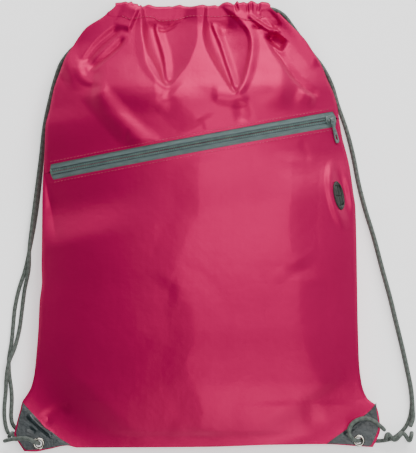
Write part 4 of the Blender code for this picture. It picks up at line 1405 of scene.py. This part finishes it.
class Cloth:
    """The panels, hems, pocket lining, patches and the seams' stitches."""

    def __init__(self, form: Form, wardrobe: Wardrobe) -> None:
        """Keep the form and the finishes."""
        self.form = form
        self.wardrobe = wardrobe

    def across(self, columns: int) -> np.ndarray:
        """Columns across a panel, closer together at its edges."""
        even = np.linspace(-1, 1, columns + 1)
        return even * 0.55 + np.sin(even * math.pi / 2) * 0.45

    def spread(self, u: np.ndarray, low: np.ndarray | float, high: np.ndarray | float,
               rows: int) -> tuple[np.ndarray, np.ndarray]:
        """X and y of a grid from a low edge to a high one, its columns at u across the bag."""
        y = low + (high - low) * np.linspace(0, 1, rows + 1)[:, None]
        return self.form.x_at(np.broadcast_to(u, y.shape), y), y

    def snap(self, x: np.ndarray, y: np.ndarray, cell: float, port: bool) -> tuple[np.ndarray, np.ndarray, np.ndarray]:
        """Fit a grid round the eyelets' and the port's holes.

        Args:
            x: grid of x.
            y: grid of y.
            cell: the grid's spacing.
            port: whether the port's hole is cut too.

        Returns:
            The grid's x and y, and which of its cells stay.
        """
        keep = np.ones((x.shape[0] - 1, x.shape[1] - 1), bool)
        rings = [(centre, (EYELET.hole, EYELET.hole), 0.0) for centre in self.form.eyelets.values()]
        if port:
            centre, across, along, _ = self.form.port
            half = (PORT.lip[0] * across.x, PORT.lip[1])
            rings.append(((centre.x, centre.y), half, math.atan2(-along.x, along.y)))
        for centre, half, turn in rings:
            x, y, inside = ring_snap(x, y, centre, half, turn, cell)
            corners = inside[:-1, :-1] & inside[:-1, 1:] & inside[1:, :-1] & inside[1:, 1:]
            keep &= ~corners
        return x, y, keep

    def lower_front(self) -> bpy.types.Object:
        """The front below the zip, with holes for the port and the eyelets."""
        columns, rows = 232, 196
        u = self.across(columns)
        x, y = self.spread(u, self.form.foot_at(u), self.form.line_along_zip(u, -self.form.tape_show), rows)
        x, y, keep = self.snap(x, y, 1.7, True)
        return self.dressed("front_lower_panel", self.edged(x, y, u), keep)

    def edged(self, x: np.ndarray, y: np.ndarray, u: np.ndarray) -> np.ndarray:
        """Points of the front at a grid, its rims turned down to meet the back."""
        z = self.form.front(x, y)
        rim = np.minimum(1 - np.abs(np.broadcast_to(u, x.shape)), 1.0) * 145
        z = z - 0.5 * (1 - smoothstep(rim, 0, 3))
        return np.stack((x, y, z), -1)

    def dressed(self, name: str, top: np.ndarray, keep: np.ndarray | None = None, finish: str = "cloth",
                slot: str = "pack_cloth", wall: float = 0.8) -> bpy.types.Object:
        """Make, dress and attach a sheet of cloth."""
        piece = cloth_sheet(name, top, wall, keep)
        return self.wardrobe.fit(piece, finish, ROOT, slot, name)

    def upper_front(self) -> bpy.types.Object:
        """The front above the zip, up to just inside the hem."""
        columns, rows = 250, 112
        u = self.across(columns)
        low = self.form.line_along_zip(u, self.form.tape_show)
        top_x = -84 + 161 * (u + 1) / 2
        high = self.form.edge(self.form.hem, top_x) + 3.0
        x, y = self.spread(u, low, high, rows)
        return self.dressed("front_upper_panel", self.edged(x, y, u))

    def back(self) -> bpy.types.Object:
        """The back, flat on the ground inside its seams."""
        columns, rows = 150, 170
        u = self.across(columns)
        x, y = self.spread(u, self.form.foot_at(u), 193.0, rows)
        x, y, keep = self.snap(x, y, 2.2, False)
        z = self.form.back(x, y) + self.form.wall
        return self.dressed("back_panel", np.stack((x, y, z), -1), keep)

    def lining(self) -> bpy.types.Object:
        """The front pocket's inner wall, hung behind the front."""
        columns, rows = 60, 50
        u = np.linspace(-0.8, 0.8, columns + 1)
        x, y = self.spread(u, -118, self.form.line_along_zip(u, -10.5), rows)
        z = self.form.front(x, y, folded=False)
        _, aside = self.form.along_zip(x, y)
        deep = smoothstep(-aside, 12, 60)
        z = (z - 3.6) + (z * 0.72 + 2 - (z - 3.6)) * deep
        # slack cloth hangs in soft waves
        z = z + 0.7 * np.sin(x / 17) * np.sin(y / 23) * deep
        return self.dressed("pocket_lining", np.stack((x, y, z), -1), None, "lining", "lining_cloth", 0.6)

    def hem_loops(self, x: np.ndarray, back: float, depth: float) -> np.ndarray:
        """Cross sections of the front hem, one for each x: up its face, over its top and down behind.

        Args:
            x: places of the sections, from 0 at the left end to 1.
            back: height of its back face.
            depth: radius of its rolled top.

        Returns:
            Closed sections, (places, points, 3).
        """
        foot_x, top_x = -84 + 160.5 * x, -76 + 144 * x
        foot = self.form.edge(self.form.hem, foot_x)
        top = self.form.edge(self.form.top, top_x)
        rows = []
        for k in np.linspace(0, 1, 12)[:-1]:
            y = foot + (top - depth - foot) * k
            here = foot_x + (top_x - foot_x) * k
            rows.append(np.stack((here, y, self.form.front(here, y) + 0.28 - 0.2 * (k == 0)), -1))
        shoulder = top - depth
        face = self.form.front(top_x, shoulder) + 0.28
        for angle in np.linspace(0, math.pi, 13):
            y = shoulder + depth * np.sin(angle)
            z = (face + back) / 2 + (face - back) / 2 * np.cos(angle)
            rows.append(np.stack((top_x, y, z), -1))
        for k in np.linspace(0, 1, 7)[1:]:
            y = shoulder + (foot + 1.5 - shoulder) * k
            rows.append(np.stack((top_x + (foot_x - top_x) * k, y, np.full_like(x, back)), -1))
        return np.stack(rows, 1)

    def hem_shell(self, name: str, sections: np.ndarray, wall: float) -> bpy.types.Object:
        """A tunnel of cloth from closed sections, open at both ends.

        Args:
            name: the piece's name.
            sections: its outer skin, (places, points, 3).
            wall: the cloth's thickness.

        Returns:
            The object.
        """
        centre = sections.mean(1, keepdims=True)
        ahead = np.roll(sections, -1, 1) - np.roll(sections, 1, 1)
        side = np.gradient(sections, axis=0)
        normal = np.cross(ahead, side)
        normal /= np.maximum(np.linalg.norm(normal, axis=2, keepdims=True), 1e-9)
        inward = np.sign((normal * (centre - sections)).sum(2, keepdims=True))
        facing = np.sign(inward.mean())
        inner = sections + normal * facing * wall
        count, points = sections.shape[:2]
        both = np.concatenate((sections.reshape(-1, 3), inner.reshape(-1, 3)))
        faces = []
        shift = count * points
        for i in range(count - 1):
            for k in range(points):
                m = (k + 1) % points
                a, b, c, d = i * points + k, i * points + m, (i + 1) * points + m, (i + 1) * points + k
                faces.append((a, d, c, b))
                faces.append((a + shift, b + shift, c + shift, d + shift))
        for i in (0, count - 1):
            for k in range(points):
                m = (k + 1) % points
                quad = (i * points + k, i * points + m, i * points + m + shift, i * points + k + shift)
                faces.append(quad if i == 0 else quad[::-1])
        piece = new_piece(name, both, faces, 70)
        run = np.cumsum(np.concatenate((np.zeros((count, 1)), np.linalg.norm(np.diff(sections, axis=1), axis=2)), 1), 1)
        plan = np.stack((sections[..., 0], run), -1).reshape(-1, 2)
        write_uv(piece, np.concatenate((plan, plan)))
        return self.wardrobe.fit(face_out(piece), "cloth", ROOT, "pack_cloth", name)

    def hems(self) -> None:
        """The two hems that the cords run through."""
        size = HemSize()
        x = np.linspace(0.0, 1.0, 200)
        self.hem_shell("front_cord_channel", self.hem_loops(x, size.inner_face, size.roll), size.wall)
        x = np.linspace(*size.back_ends, 90)
        rows = []
        for angle in np.linspace(0, 2 * math.pi, 28, endpoint=False):
            # an oval with squared shoulders, rippled along its length
            cos, sin = (math.copysign(abs(v) ** size.squareness, v) for v in (math.cos(angle), math.sin(angle)))
            y = size.back_middle[0] + size.back_half[0] * cos + 0.4 * np.sin(x / 9)
            z = size.back_middle[1] + size.back_half[1] * sin + 0.25 * np.sin(x / 7 + 1)
            rows.append(np.stack((x, y, z), -1))
        self.hem_shell("back_cord_channel", np.stack(rows, 1), size.wall)

    def sew(self, name: str, path: Sequence[Point], lift: float, size: StitchSize, finish: str, slot: str,
            height: Callable | None = None) -> bpy.types.Object:
        """A row of stitches along a path on the front.

        Args:
            name: the piece's name.
            path: (x, y) points in millimetres.
            lift: how far the stitches' middles lie above the face.
            size: the stitches' sizes.
            finish: the thread's finish.
            slot: not used.
            height: the face, or the front.

        Returns:
            The object.
        """
        height = height or self.form.front
        line = even_path(path, size.pitch)
        z = height(line[:, 0], line[:, 1]) + lift
        points = np.column_stack((line[:, :2], z))
        spots = []
        for i in range(len(points) - 1):
            middle = (points[i] + points[i + 1]) / 2
            spots.append((middle, points[i + 1] - points[i], self.form.out_of(height, middle[0], middle[1])))
        piece = row_of(name, capsule(size.length, size.radius), spots)
        return self.wardrobe.fit(piece, finish, ROOT, slot)

    def seams(self) -> None:
        """Stitches beside the zip and along the hem."""
        size = StitchSize()
        cos, sin = math.cos(self.form.heading), math.sin(self.form.heading)
        offset, reach = 9.6, 132
        forward = np.linspace(-reach, reach - 1, 60)
        for name, side in (("upper", 1), ("lower", -1)):
            x = self.form.zip_middle[0] + forward * cos - side * offset * sin
            y = self.form.zip_middle[1] + forward * sin + side * offset * cos
            self.sew(f"zip_seam_{name}", np.column_stack((x, y)), -0.05, size, "thread", "pack_cloth")
        hem = self.form.hem.copy()
        hem[:, 1] += 1.2
        inside = hem[(hem[:, 0] > -75) & (hem[:, 0] < 68)]
        self.sew("hem_seam", inside, 0.3, size, "thread", "pack_cloth")

    def build(self) -> None:
        """Make every cloth piece."""
        self.lower_front()
        self.upper_front()
        self.back()
        self.lining()
        self.hems()
        self.seams()


@dataclass(frozen=True)
class PatchShape:
    """A corner patch: its two edges from the corner outwards and its long edge between them."""

    side: str
    upright: Sequence[Point]
    foot: Sequence[Point]
    slant: Sequence[Point]


PATCHES = (
    PatchShape("left",
               ((-160.2, -207.4), (-163.6, -202.0), (-166.6, -197.2), (-168.4, -192.4), (-167.0, -184.9),
               (-165.6, -177.0),
                (-163.4, -170.5), (-162.2, -163.0)),
               ((-160.2, -207.4), (-151.7, -207.3), (-136.8, -205.4), (-127.0, -203.4), (-117.8, -202.6)),
               ((-162.2, -163.0), (-157.6, -168.4), (-152.0, -174.6), (-146.6, -180.6), (-141.4, -186.2),
               (-134.0, -191.4),
                (-127.0, -197.0), (-117.8, -202.6))),
    PatchShape("right",
               ((161.2, -204.0), (163.8, -199.2), (166.0, -194.0), (168.0, -188.4), (168.2, -180.2), (167.0, -172.0),
                (166.6, -163.4)),
               ((161.2, -204.0), (150.0, -203.0), (136.0, -202.0), (120.6, -201.6)),
               ((166.6, -163.4), (161.0, -170.4), (154.8, -175.6), (148.0, -180.4), (142.0, -185.6), (134.0, -191.6),
                (127.0, -196.6), (120.6, -201.6))),
)


class Corners:
    """The leather patches, their stitches and the eyelets."""

    def __init__(self, form: Form, wardrobe: Wardrobe, cloth: Cloth) -> None:
        """Keep the form, the finishes and the cloth that the patches lie on."""
        self.form = form
        self.wardrobe = wardrobe
        self.cloth = cloth

    def grid(self, shape: PatchShape, count: int) -> tuple[np.ndarray, np.ndarray]:
        """Plan of a patch as rows that grow from its corner to its long edge.

        Args:
            shape: the patch.
            count: cells each way.

        Returns:
            The grid's x and y.
        """
        share = np.linspace(0.04, 1, count + 1)
        ends = []
        for side in (shape.upright, shape.foot, shape.slant):
            path = even_path(side, 0.5)
            where = share if len(ends) < 2 else np.linspace(0, 1, count + 1)
            ends.append(through(np.linspace(0, 1, len(path)), path, where, False))
        upright, foot, slant = ends
        across = np.linspace(0, 1, count + 1)[None, :, None]
        chord = upright[:, None] * (1 - across) + foot[:, None] * across
        straight = slant[0] * (1 - across[0]) + slant[-1] * across[0]
        bulge = (slant - straight)[None] * (share**2)[:, None, None]
        points = chord + bulge
        return points[..., 0], points[..., 1]

    def patch(self, shape: PatchShape, back: bool) -> bpy.types.Object:
        """One patch as an embossed sheet that follows the cloth."""
        name = f"{'back' if back else 'front'}_{shape.side}_corner_patch"
        x, y = self.grid(shape, 64)
        x, y, keep = self.cloth.snap(x, y, 1.0, False)
        if back:
            z = self.form.back(x, y) - 0.1
        else:
            z = self.form.front(x, y) + 0.95
            # the cut edge is pressed down by its seam
            share = np.linspace(0, 1, x.shape[0])[:, None]
            z = z - 0.3 * np.exp(-(((1 - share) / 0.06) ** 2))
        piece = cloth_sheet(name, np.stack((x, y, z), -1), self.form.wall, keep)
        return self.wardrobe.fit(piece, "leather", ROOT, "corner_leather", name)

    def eyelet(self, side: str) -> None:
        """An eyelet with its rolled flange, and the washer below."""
        x, y = self.form.eyelets[side]
        place = Matrix.Translation(Vector((x, y, 0)) * MM)
        flange, barrel, bore = EYELET.flange, EYELET.barrel, EYELET.bore
        middle, half = (flange + bore) / 2 - 0.05, (flange - bore) / 2 - 0.1
        rolled = [(bore, 7.6), (barrel, 7.6), (barrel, 13.35), (flange - 0.5, 13.35), (flange, 13.6),
                  (flange - 0.1, 13.95)]
        for angle in np.radians(np.linspace(20, 160, 9)):
            rolled.append((middle + half * math.cos(angle), 13.75 + 0.75 * math.sin(angle)))
        rolled.append((bore, EYELET.top - 0.6))
        washer = [(barrel + 0.2, 8.25), (barrel + 0.2, 7.6), (barrel + 0.9, 7.35), (flange - 0.4, 7.5),
                  (flange, 7.8), (flange - 0.1, 8.25)]
        for name, profile in ((f"{side}_eyelet", rolled), (f"{side}_eyelet_washer", washer)):
            self.wardrobe.fit(spun(name, profile, place), "nickel", ROOT, "eyelet_nickel", name)

    def build(self) -> None:
        """Make both corners."""
        size = StitchSize(3.0, 2.2, 0.26)
        for shape in PATCHES:
            self.patch(shape, back=False)
            self.patch(shape, back=True)
            self.eyelet(shape.side)
            slant = np.array(shape.slant)
            inward = np.array(shape.upright[0]) - slant.mean(0)
            inward /= np.linalg.norm(inward)
            for row, offset in (("near", 1.6), ("far", 4.6)):
                path = (slant + inward * offset)[1:-1]
                self.cloth.sew(f"{shape.side}_patch_seam_{row}", path, 0.9, size, "dark_thread_and_groove_shade", "corner_leather")


# ---- The zip ----


@dataclass(frozen=True)
class ZipSize:
    """Sizes of the zip in millimetres."""

    tape_edge: float = 8.4
    coil_inner: float = 0.35
    coil_outer: float = 2.0
    pitch: float = 2.0
    stop: float = 1.5
    slider_rest: float = 129.3
    slider_length: float = 9.0
    bail: float = 4.7
    swivel: float = math.radians(9)
    pull_length: float = 23.0
    pull_width: float = 4.2


class Zip:
    """Tapes, coils, stops, slider and pull."""

    def __init__(self, form: Form, wardrobe: Wardrobe, size: ZipSize = ZipSize()) -> None:
        """Keep the form, the finishes and the sizes."""
        self.form = form
        self.wardrobe = wardrobe
        self.size = size

    def sweep(self, name: str, profile: Sequence[Point], steps: int) -> bpy.types.Object:
        """Carry a closed profile of (aside, out) points along the chain."""
        rings = []
        start, end = self.form.zip_ends
        for forward in np.linspace(start, end, steps + 1):
            frame = self.form.zip_frame(forward)
            rings.append([[*(frame @ Vector((0, a * MM, h * MM)) / MM)] for a, h in profile])
        count = len(profile)
        faces = []
        for i in range(steps):
            for k in range(count):
                m = (k + 1) % count
                faces.append((i * count + k, i * count + m, (i + 1) * count + m, (i + 1) * count + k))
        faces.append(tuple(range(count))[::-1])
        faces.append(tuple(range(steps * count, (steps + 1) * count)))
        points = np.array(rings)
        piece = new_piece(name, points.reshape(-1, 3), faces, 40)
        run = np.linspace(start, end, steps + 1)[:, None] * np.ones(count)
        aside = np.array([a for a, _ in profile])[None] * np.ones((steps + 1, 1))
        write_uv(piece, np.stack((run, aside), -1).reshape(-1, 2))
        return piece

    def tapes(self) -> None:
        """Both woven tapes, each with a raised cord of the chain's sewing along it."""
        for name, side in (("lower", -1), ("upper", 1)):
            inner, edge = self.size.coil_inner + 0.2, self.size.tape_edge
            profile = [(inner, -0.3), (edge, -0.3), (edge, 0.15), (edge - 1.2, 0.3), (4.1, 0.3), (3.7, 0.55),
                       (3.2, 0.55), (2.8, 0.25), (inner, 0.2)]
            piece = self.sweep(f"zipper_{name}_tape", [(side * a, h) for a, h in profile], 120)
            self.wardrobe.fit(face_out(piece), "tape", ROOT, "zip_tape", f"zipper_{name}_tape")

    def coils(self) -> None:
        """Both coils as rows of loops, each half a pitch from the other, and a dark strip beside each: painted shadow
        of the gap between coil and tape.
        """
        size = self.size
        for name, side in (("lower", -1), ("upper", 1)):
            # a dark strip at the coil's outer edge in the dark thread's colour: painted shadow of the gap between coil
            # and tape
            profile = [(side * a, h) for a, h in ((2.1, 0.2), (2.9, 0.2), (2.9, 0.62), (2.5, 0.75), (2.1, 0.62))]
            piece = self.sweep(f"zip_sewing_{name}", profile, 120)
            self.wardrobe.fit(face_out(piece), "dark_thread_and_groove_shade", ROOT, "zip_tape")
        start, end = self.form.zip_ends
        room = size.stop + 0.6
        loop = capsule(size.coil_outer - size.coil_inner + 0.4, 0.52, 10)
        for name, side in (("lower", -1), ("upper", 1)):
            spots = []
            forward = start + room + (size.pitch / 2 if side > 0 else 0)
            while forward < end - room:
                frame = self.form.zip_frame(forward)
                middle = (size.coil_outer + size.coil_inner) / 2 - 0.15
                lean = 0.12 * side
                for level in (0.62, -0.55):
                    place = frame @ Vector((0, side * middle * MM, level * MM)) / MM
                    ahead = frame.to_3x3() @ Vector((lean, side, 0.1 if level > 0 else -0.1))
                    spots.append((np.array(place), np.array(ahead), np.array(frame.to_3x3() @ Vector((0, 0, 1)))))
                forward += size.pitch
            piece = row_of(f"zipper_{name}_coil", loop, spots, 60)
            self.wardrobe.fit(piece, "coil", ROOT, "zip_coil", f"zipper_{name}_coil")

    def stops(self) -> None:
        """A moulded stop over each end of the chain."""
        start, end = self.form.zip_ends
        half = self.size.stop / 2
        for name, forward in (("left", start + half), ("right", end - half)):
            outline = [(half * x, 2.9 * y) for x, y in ((-1, -1), (1, -1), (1, 1), (-1, 1))]
            piece = plate(f"zipper_{name}_stop", outline, -1.0, 1.1, 0.45, self.form.zip_frame(forward))
            self.wardrobe.fit(piece, "coil", ROOT, "zip_coil", f"zipper_{name}_stop")

    def slider(self) -> None:
        """The slider: shaped plates, flanges, post and a bail for the pull."""
        frame = self.form.zip_frame(self.size.slider_rest)
        half = self.size.slider_length / 2
        outline = [(-half, -2.6), (-half + 0.5, -3.3), (-1.0, -3.6), (half - 2.2, -4.3), (half - 0.8, -4.1),
                   (half - 0.1, -2.8), (half - 0.5, 0.0), (half - 0.1, 2.8), (half - 0.8, 4.1), (half - 2.2, 4.3),
                   (-1.0, 3.6), (-half + 0.5, 3.3), (-half, 2.6)]
        upper = plate("slider_upper", outline, 1.3, 2.2, 0.35, frame)
        raised = [(x * 0.72 - 0.2, y * 0.6) for x, y in outline]
        boss = plate("slider_boss", raised, 2.1, 2.55, 0.2, frame)
        parts = [upper, boss, plate("slider_lower", outline, -2.2, -1.3, 0.35, frame)]
        post = [(half - 3.2, -0.45), (half - 1.2, -0.45), (half - 1.2, 0.45), (half - 3.2, 0.45)]
        parts.append(plate("slider_post", post, -1.6, 1.6, 0.0, frame))
        for side in (1, -1):
            flange = [(-half + 1.0, side * 3.0), (half - 2.2, side * 3.5), (half - 2.2, side * 4.15),
                      (-half + 1.0, side * 3.55)]
            parts.append(plate("slider_wing", flange, 0.65, 1.6, 0.12, frame))
            parts.append(plate("slider_wing", flange, -1.6, -0.65, 0.12, frame))
        turned = frame @ Matrix.Rotation(self.size.swivel, 4, "Z")
        arch = []
        for angle in np.linspace(0, math.pi, 13):
            arch.append((3.3 * math.cos(angle), 0.0, 2.1 + (self.size.bail - 2.1) * math.sin(angle) ** 0.45))
        path = np.array([carried(turned, point) for point in arch])
        parts.append(face_out(tube("slider_bail", even_path(path, 0.4), 0.6, 12)))
        piece = join("zipper_slider", parts)
        self.wardrobe.fit(piece, "slider", "slider", "zip_slider_metal", "zipper_slider")

    def pull_frame(self) -> Matrix:
        """Frame on the bail: X along it, Y down the pull, Z out."""
        size = self.size
        droop = math.asin((size.bail - 1.75) / size.pull_length)
        turned = self.form.zip_frame(size.slider_rest) @ Matrix.Rotation(size.swivel, 4, "Z")
        turned = turned @ Matrix.Translation((0, 0, size.bail * MM)) @ Matrix.Rotation(math.pi, 4, "Z")
        return turned @ Matrix.Rotation(-droop, 4, "X")

    def pull(self) -> None:
        """The pull: a waisted tab with a sunk slot, folded round the bail."""
        frame = self.pull_frame()
        end, half = self.size.pull_length, self.size.pull_width / 2
        outline = [(-1.7, 1.2), (1.7, 1.2), (1.9, 3.4), (1.45, 5.6), (1.5, 8.5), (half * 0.9, 13), (half, 17),
                   (half, end - half)]
        for k in range(1, 8):
            angle = math.pi * k / 8
            outline.append((half * math.cos(angle), end - half + half * math.sin(angle)))
        outline += [(-x, y) for x, y in outline[7:1:-1]]
        tab = plate("pull_tab", outline, -0.6, 0.6, 0.3, frame)
        slot = [(x, y + end - 5.4) for x, y in oval(0.95, 3.0, 20)]
        boolean(tab, plate("slot", slot, -2, 2, 0, frame), "DIFFERENCE")
        sides = 24
        turn = np.linspace(0, 2 * math.pi, sides, endpoint=False)
        # rings of the eye: the bore's two ends, then the outside's from the far end back
        points = np.array([carried(frame, (x, radius * math.cos(a), radius * math.sin(a)))
                           for radius, x in ((1.0, -1.9), (1.0, 1.9), (1.75, 1.9), (1.75, -1.9)) for a in turn])
        faces = []
        for i in range(4):
            j = (i + 1) % 4
            for k in range(sides):
                m = (k + 1) % sides
                faces.append((i * sides + k, i * sides + m, j * sides + m, j * sides + k))
        barrel = face_out(new_piece("pull_eye", points, faces, 35))
        piece = join("zipper_pull", [tab, barrel])
        self.wardrobe.fit(piece, "slider", "pull", "zip_pull_metal", "zipper_pull")

    def build(self) -> None:
        """Make the whole zip."""
        self.tapes()
        self.coils()
        self.stops()
        self.slider()
        self.pull()


class Port:
    """The rubber cable port."""

    def __init__(self, form: Form, wardrobe: Wardrobe) -> None:
        """Keep the form and the finishes."""
        self.form = form
        self.wardrobe = wardrobe

    def build(self) -> None:
        """A lipped oval rim and four flaps."""
        frame = self.form.port_frame()
        rim = plate("earphone_port_rim", oval(*PORT.rim, 56), -1.2, 1.0, 0.5, frame)
        wide, high = PORT.window
        window = [(-wide, -high), (wide, -high), (wide, high), (-wide, high)]
        boolean(rim, plate("window", window, -5, 5, 0, frame), "DIFFERENCE")
        path = np.array([carried(frame, (x, y, 0.95)) for x, y in oval(*PORT.lip, 72)])
        lip = tube("port_lip", path, 0.62, 10, closed=True)
        piece = join("earphone_port_rim", [rim, lip])
        self.wardrobe.fit(piece, "rubber", ROOT, "port_rubber", "earphone_port_rim")
        for across, side in ((-1, "left"), (1, "right")):
            for along, end in ((-1, "lower"), (1, "upper")):
                xs = sorted((across * PORT.flap[0], across * PORT.gap))
                ys = sorted((along * PORT.flap[1], along * PORT.gap))
                outline = [(xs[0], ys[0]), (xs[1], ys[0]), (xs[1], ys[1]), (xs[0], ys[1])]
                flap = plate(f"port_flap_{end}_{side}", outline, -0.5, 0.5, 0.18, frame)
                self.wardrobe.fit(flap, "rubber", f"flap_{end}_{side}", "port_rubber", f"port_flap_{end}_{side}")


# ---- The studio ----


@dataclass(frozen=True)
class Lamp:
    """A rectangular light: its middle and size in metres, what it points at, power and colour."""

    name: str
    place: Point
    size: Point
    power: float
    aim: Point = (0.0, 0.0, 0.0)
    tint: str = "FFFFFF"


class Studio:
    """Camera, floor and soft light."""

    # lens and sensor in millimetres; the view's height and the middle that it shows in metres
    lens = 262.0
    sensor = 36.0
    view = 0.421
    middle = (0.010, 0.0005, 0.015)
    glow = 0.6
    surround = 0.08
    lamps = (
        Lamp("softbox", (0.84, 0.2, 3.4), (1.62, 2.6), 66.0),
        Lamp("foot_softbox", (0.80, -2.5, 1.8), (1.6, 2.2), 50.0),
        Lamp("head_light", (0.75, 2.5, 1.6), (3.0, 1.5), 130.0),
        Lamp("side_light", (-2.0, 2.0, 1.4), (1.0, 1.2), 14.0),
    )

    def camera(self) -> None:
        """A long lens straight above the bag."""
        lens = bpy.data.cameras.new("camera")
        lens.lens = self.lens
        camera = bpy.data.objects.new("camera", lens)
        x, y, z = self.middle
        camera.location = (x, y, z + self.view * self.lens / self.sensor)
        bpy.context.scene.collection.objects.link(camera)
        bpy.context.scene.camera = camera

    def floor(self) -> None:
        """A plain pale floor."""
        bpy.ops.object.select_all(action="DESELECT")
        bpy.ops.mesh.primitive_plane_add(size=6, location=(0, 0, 0))
        floor = bpy.context.active_object
        floor.name = "floor"
        material, _, shader = Finish("lit_white_sweep", "F4F4F4", "FAFAFA", 0.9, specular=0.0).start()
        # the sweep is lit through from below, as a light table is
        shader.inputs["Emission Color"].default_value = colour("FFFFFF")
        shader.inputs["Emission Strength"].default_value = self.glow
        floor.data.materials.append(material)

    def light(self) -> None:
        """The lamps and an even surrounding."""
        for lamp in self.lamps:
            data = bpy.data.lights.new(lamp.name, "AREA")
            data.shape = "RECTANGLE"
            data.size, data.size_y = lamp.size
            data.energy = lamp.power
            data.color = colour(lamp.tint)[:3]
            item = bpy.data.objects.new(lamp.name, data)
            item.location = lamp.place
            aim = Vector(lamp.aim) - Vector(lamp.place)
            item.rotation_euler = aim.to_track_quat("-Z", "Y").to_euler()
            bpy.context.scene.collection.objects.link(item)
        world = bpy.data.worlds.new("studio")
        world.use_nodes = True
        background = world.node_tree.nodes["Background"]
        background.inputs["Color"].default_value = colour("FFFFFF")
        background.inputs["Strength"].default_value = self.surround
        bpy.context.scene.world = world


@dataclass(frozen=True)
class Cut:
    """The flat cut of one panel, in metres, and what is sewn on it.

    The cuts are rectangles, 340 mm wide for the bag and 240 mm for the pocket, but for the slanted
    side along the zip; area allows for that.
    """

    node: str
    width: float
    length: float
    area: float
    held: str
    sewn_on: tuple[str, ...]

    def declare(self) -> None:
        """Log the panel's cut and how it is held."""
        LOG.info("%s is cut %.3f by %.3f m and held %s", self.node, self.width, self.length, self.held)


CUTS = (
    Cut("back_panel", 0.34, 0.42, 0.1428, "gathered", (
        "back_cord_channel_piece", "back_left_corner_patch_piece", "back_right_corner_patch_piece")),
    Cut("front_upper_panel", 0.34, 0.15, 0.0405, "gathered", (
        "front_cord_channel_piece", "hem_seam", "zip_seam_upper")),
    Cut("front_lower_panel", 0.34, 0.32, 0.0965, "laid", (
        "zip_seam_lower", "front_left_corner_patch_piece", "front_right_corner_patch_piece")),
    Cut("pocket_lining", 0.24, 0.215, 0.045, "hung", ()),
)


class Backpack:
    """The whole bag."""

    def __init__(self) -> None:
        """Make the form and the finishes."""
        self.form = Form()
        self.wardrobe = Wardrobe()

    def build(self) -> None:
        """Make every piece: the cords first, then cloth, corners, zip and port."""
        Cords(self.wardrobe).build()
        cloth = Cloth(self.form, self.wardrobe)
        cloth.build()
        Corners(self.form, self.wardrobe, cloth).build()
        Zip(self.form, self.wardrobe).build()
        Port(self.form, self.wardrobe).build()
        for cut in CUTS:
            cut.declare()


def main() -> None:
    """Build the scene."""
    logging.basicConfig(level=logging.INFO, format="%(message)s")
    studio = Studio()
    studio.camera()
    Backpack().build()
    studio.floor()
    studio.light()


if __name__ == "__main__":
    main()
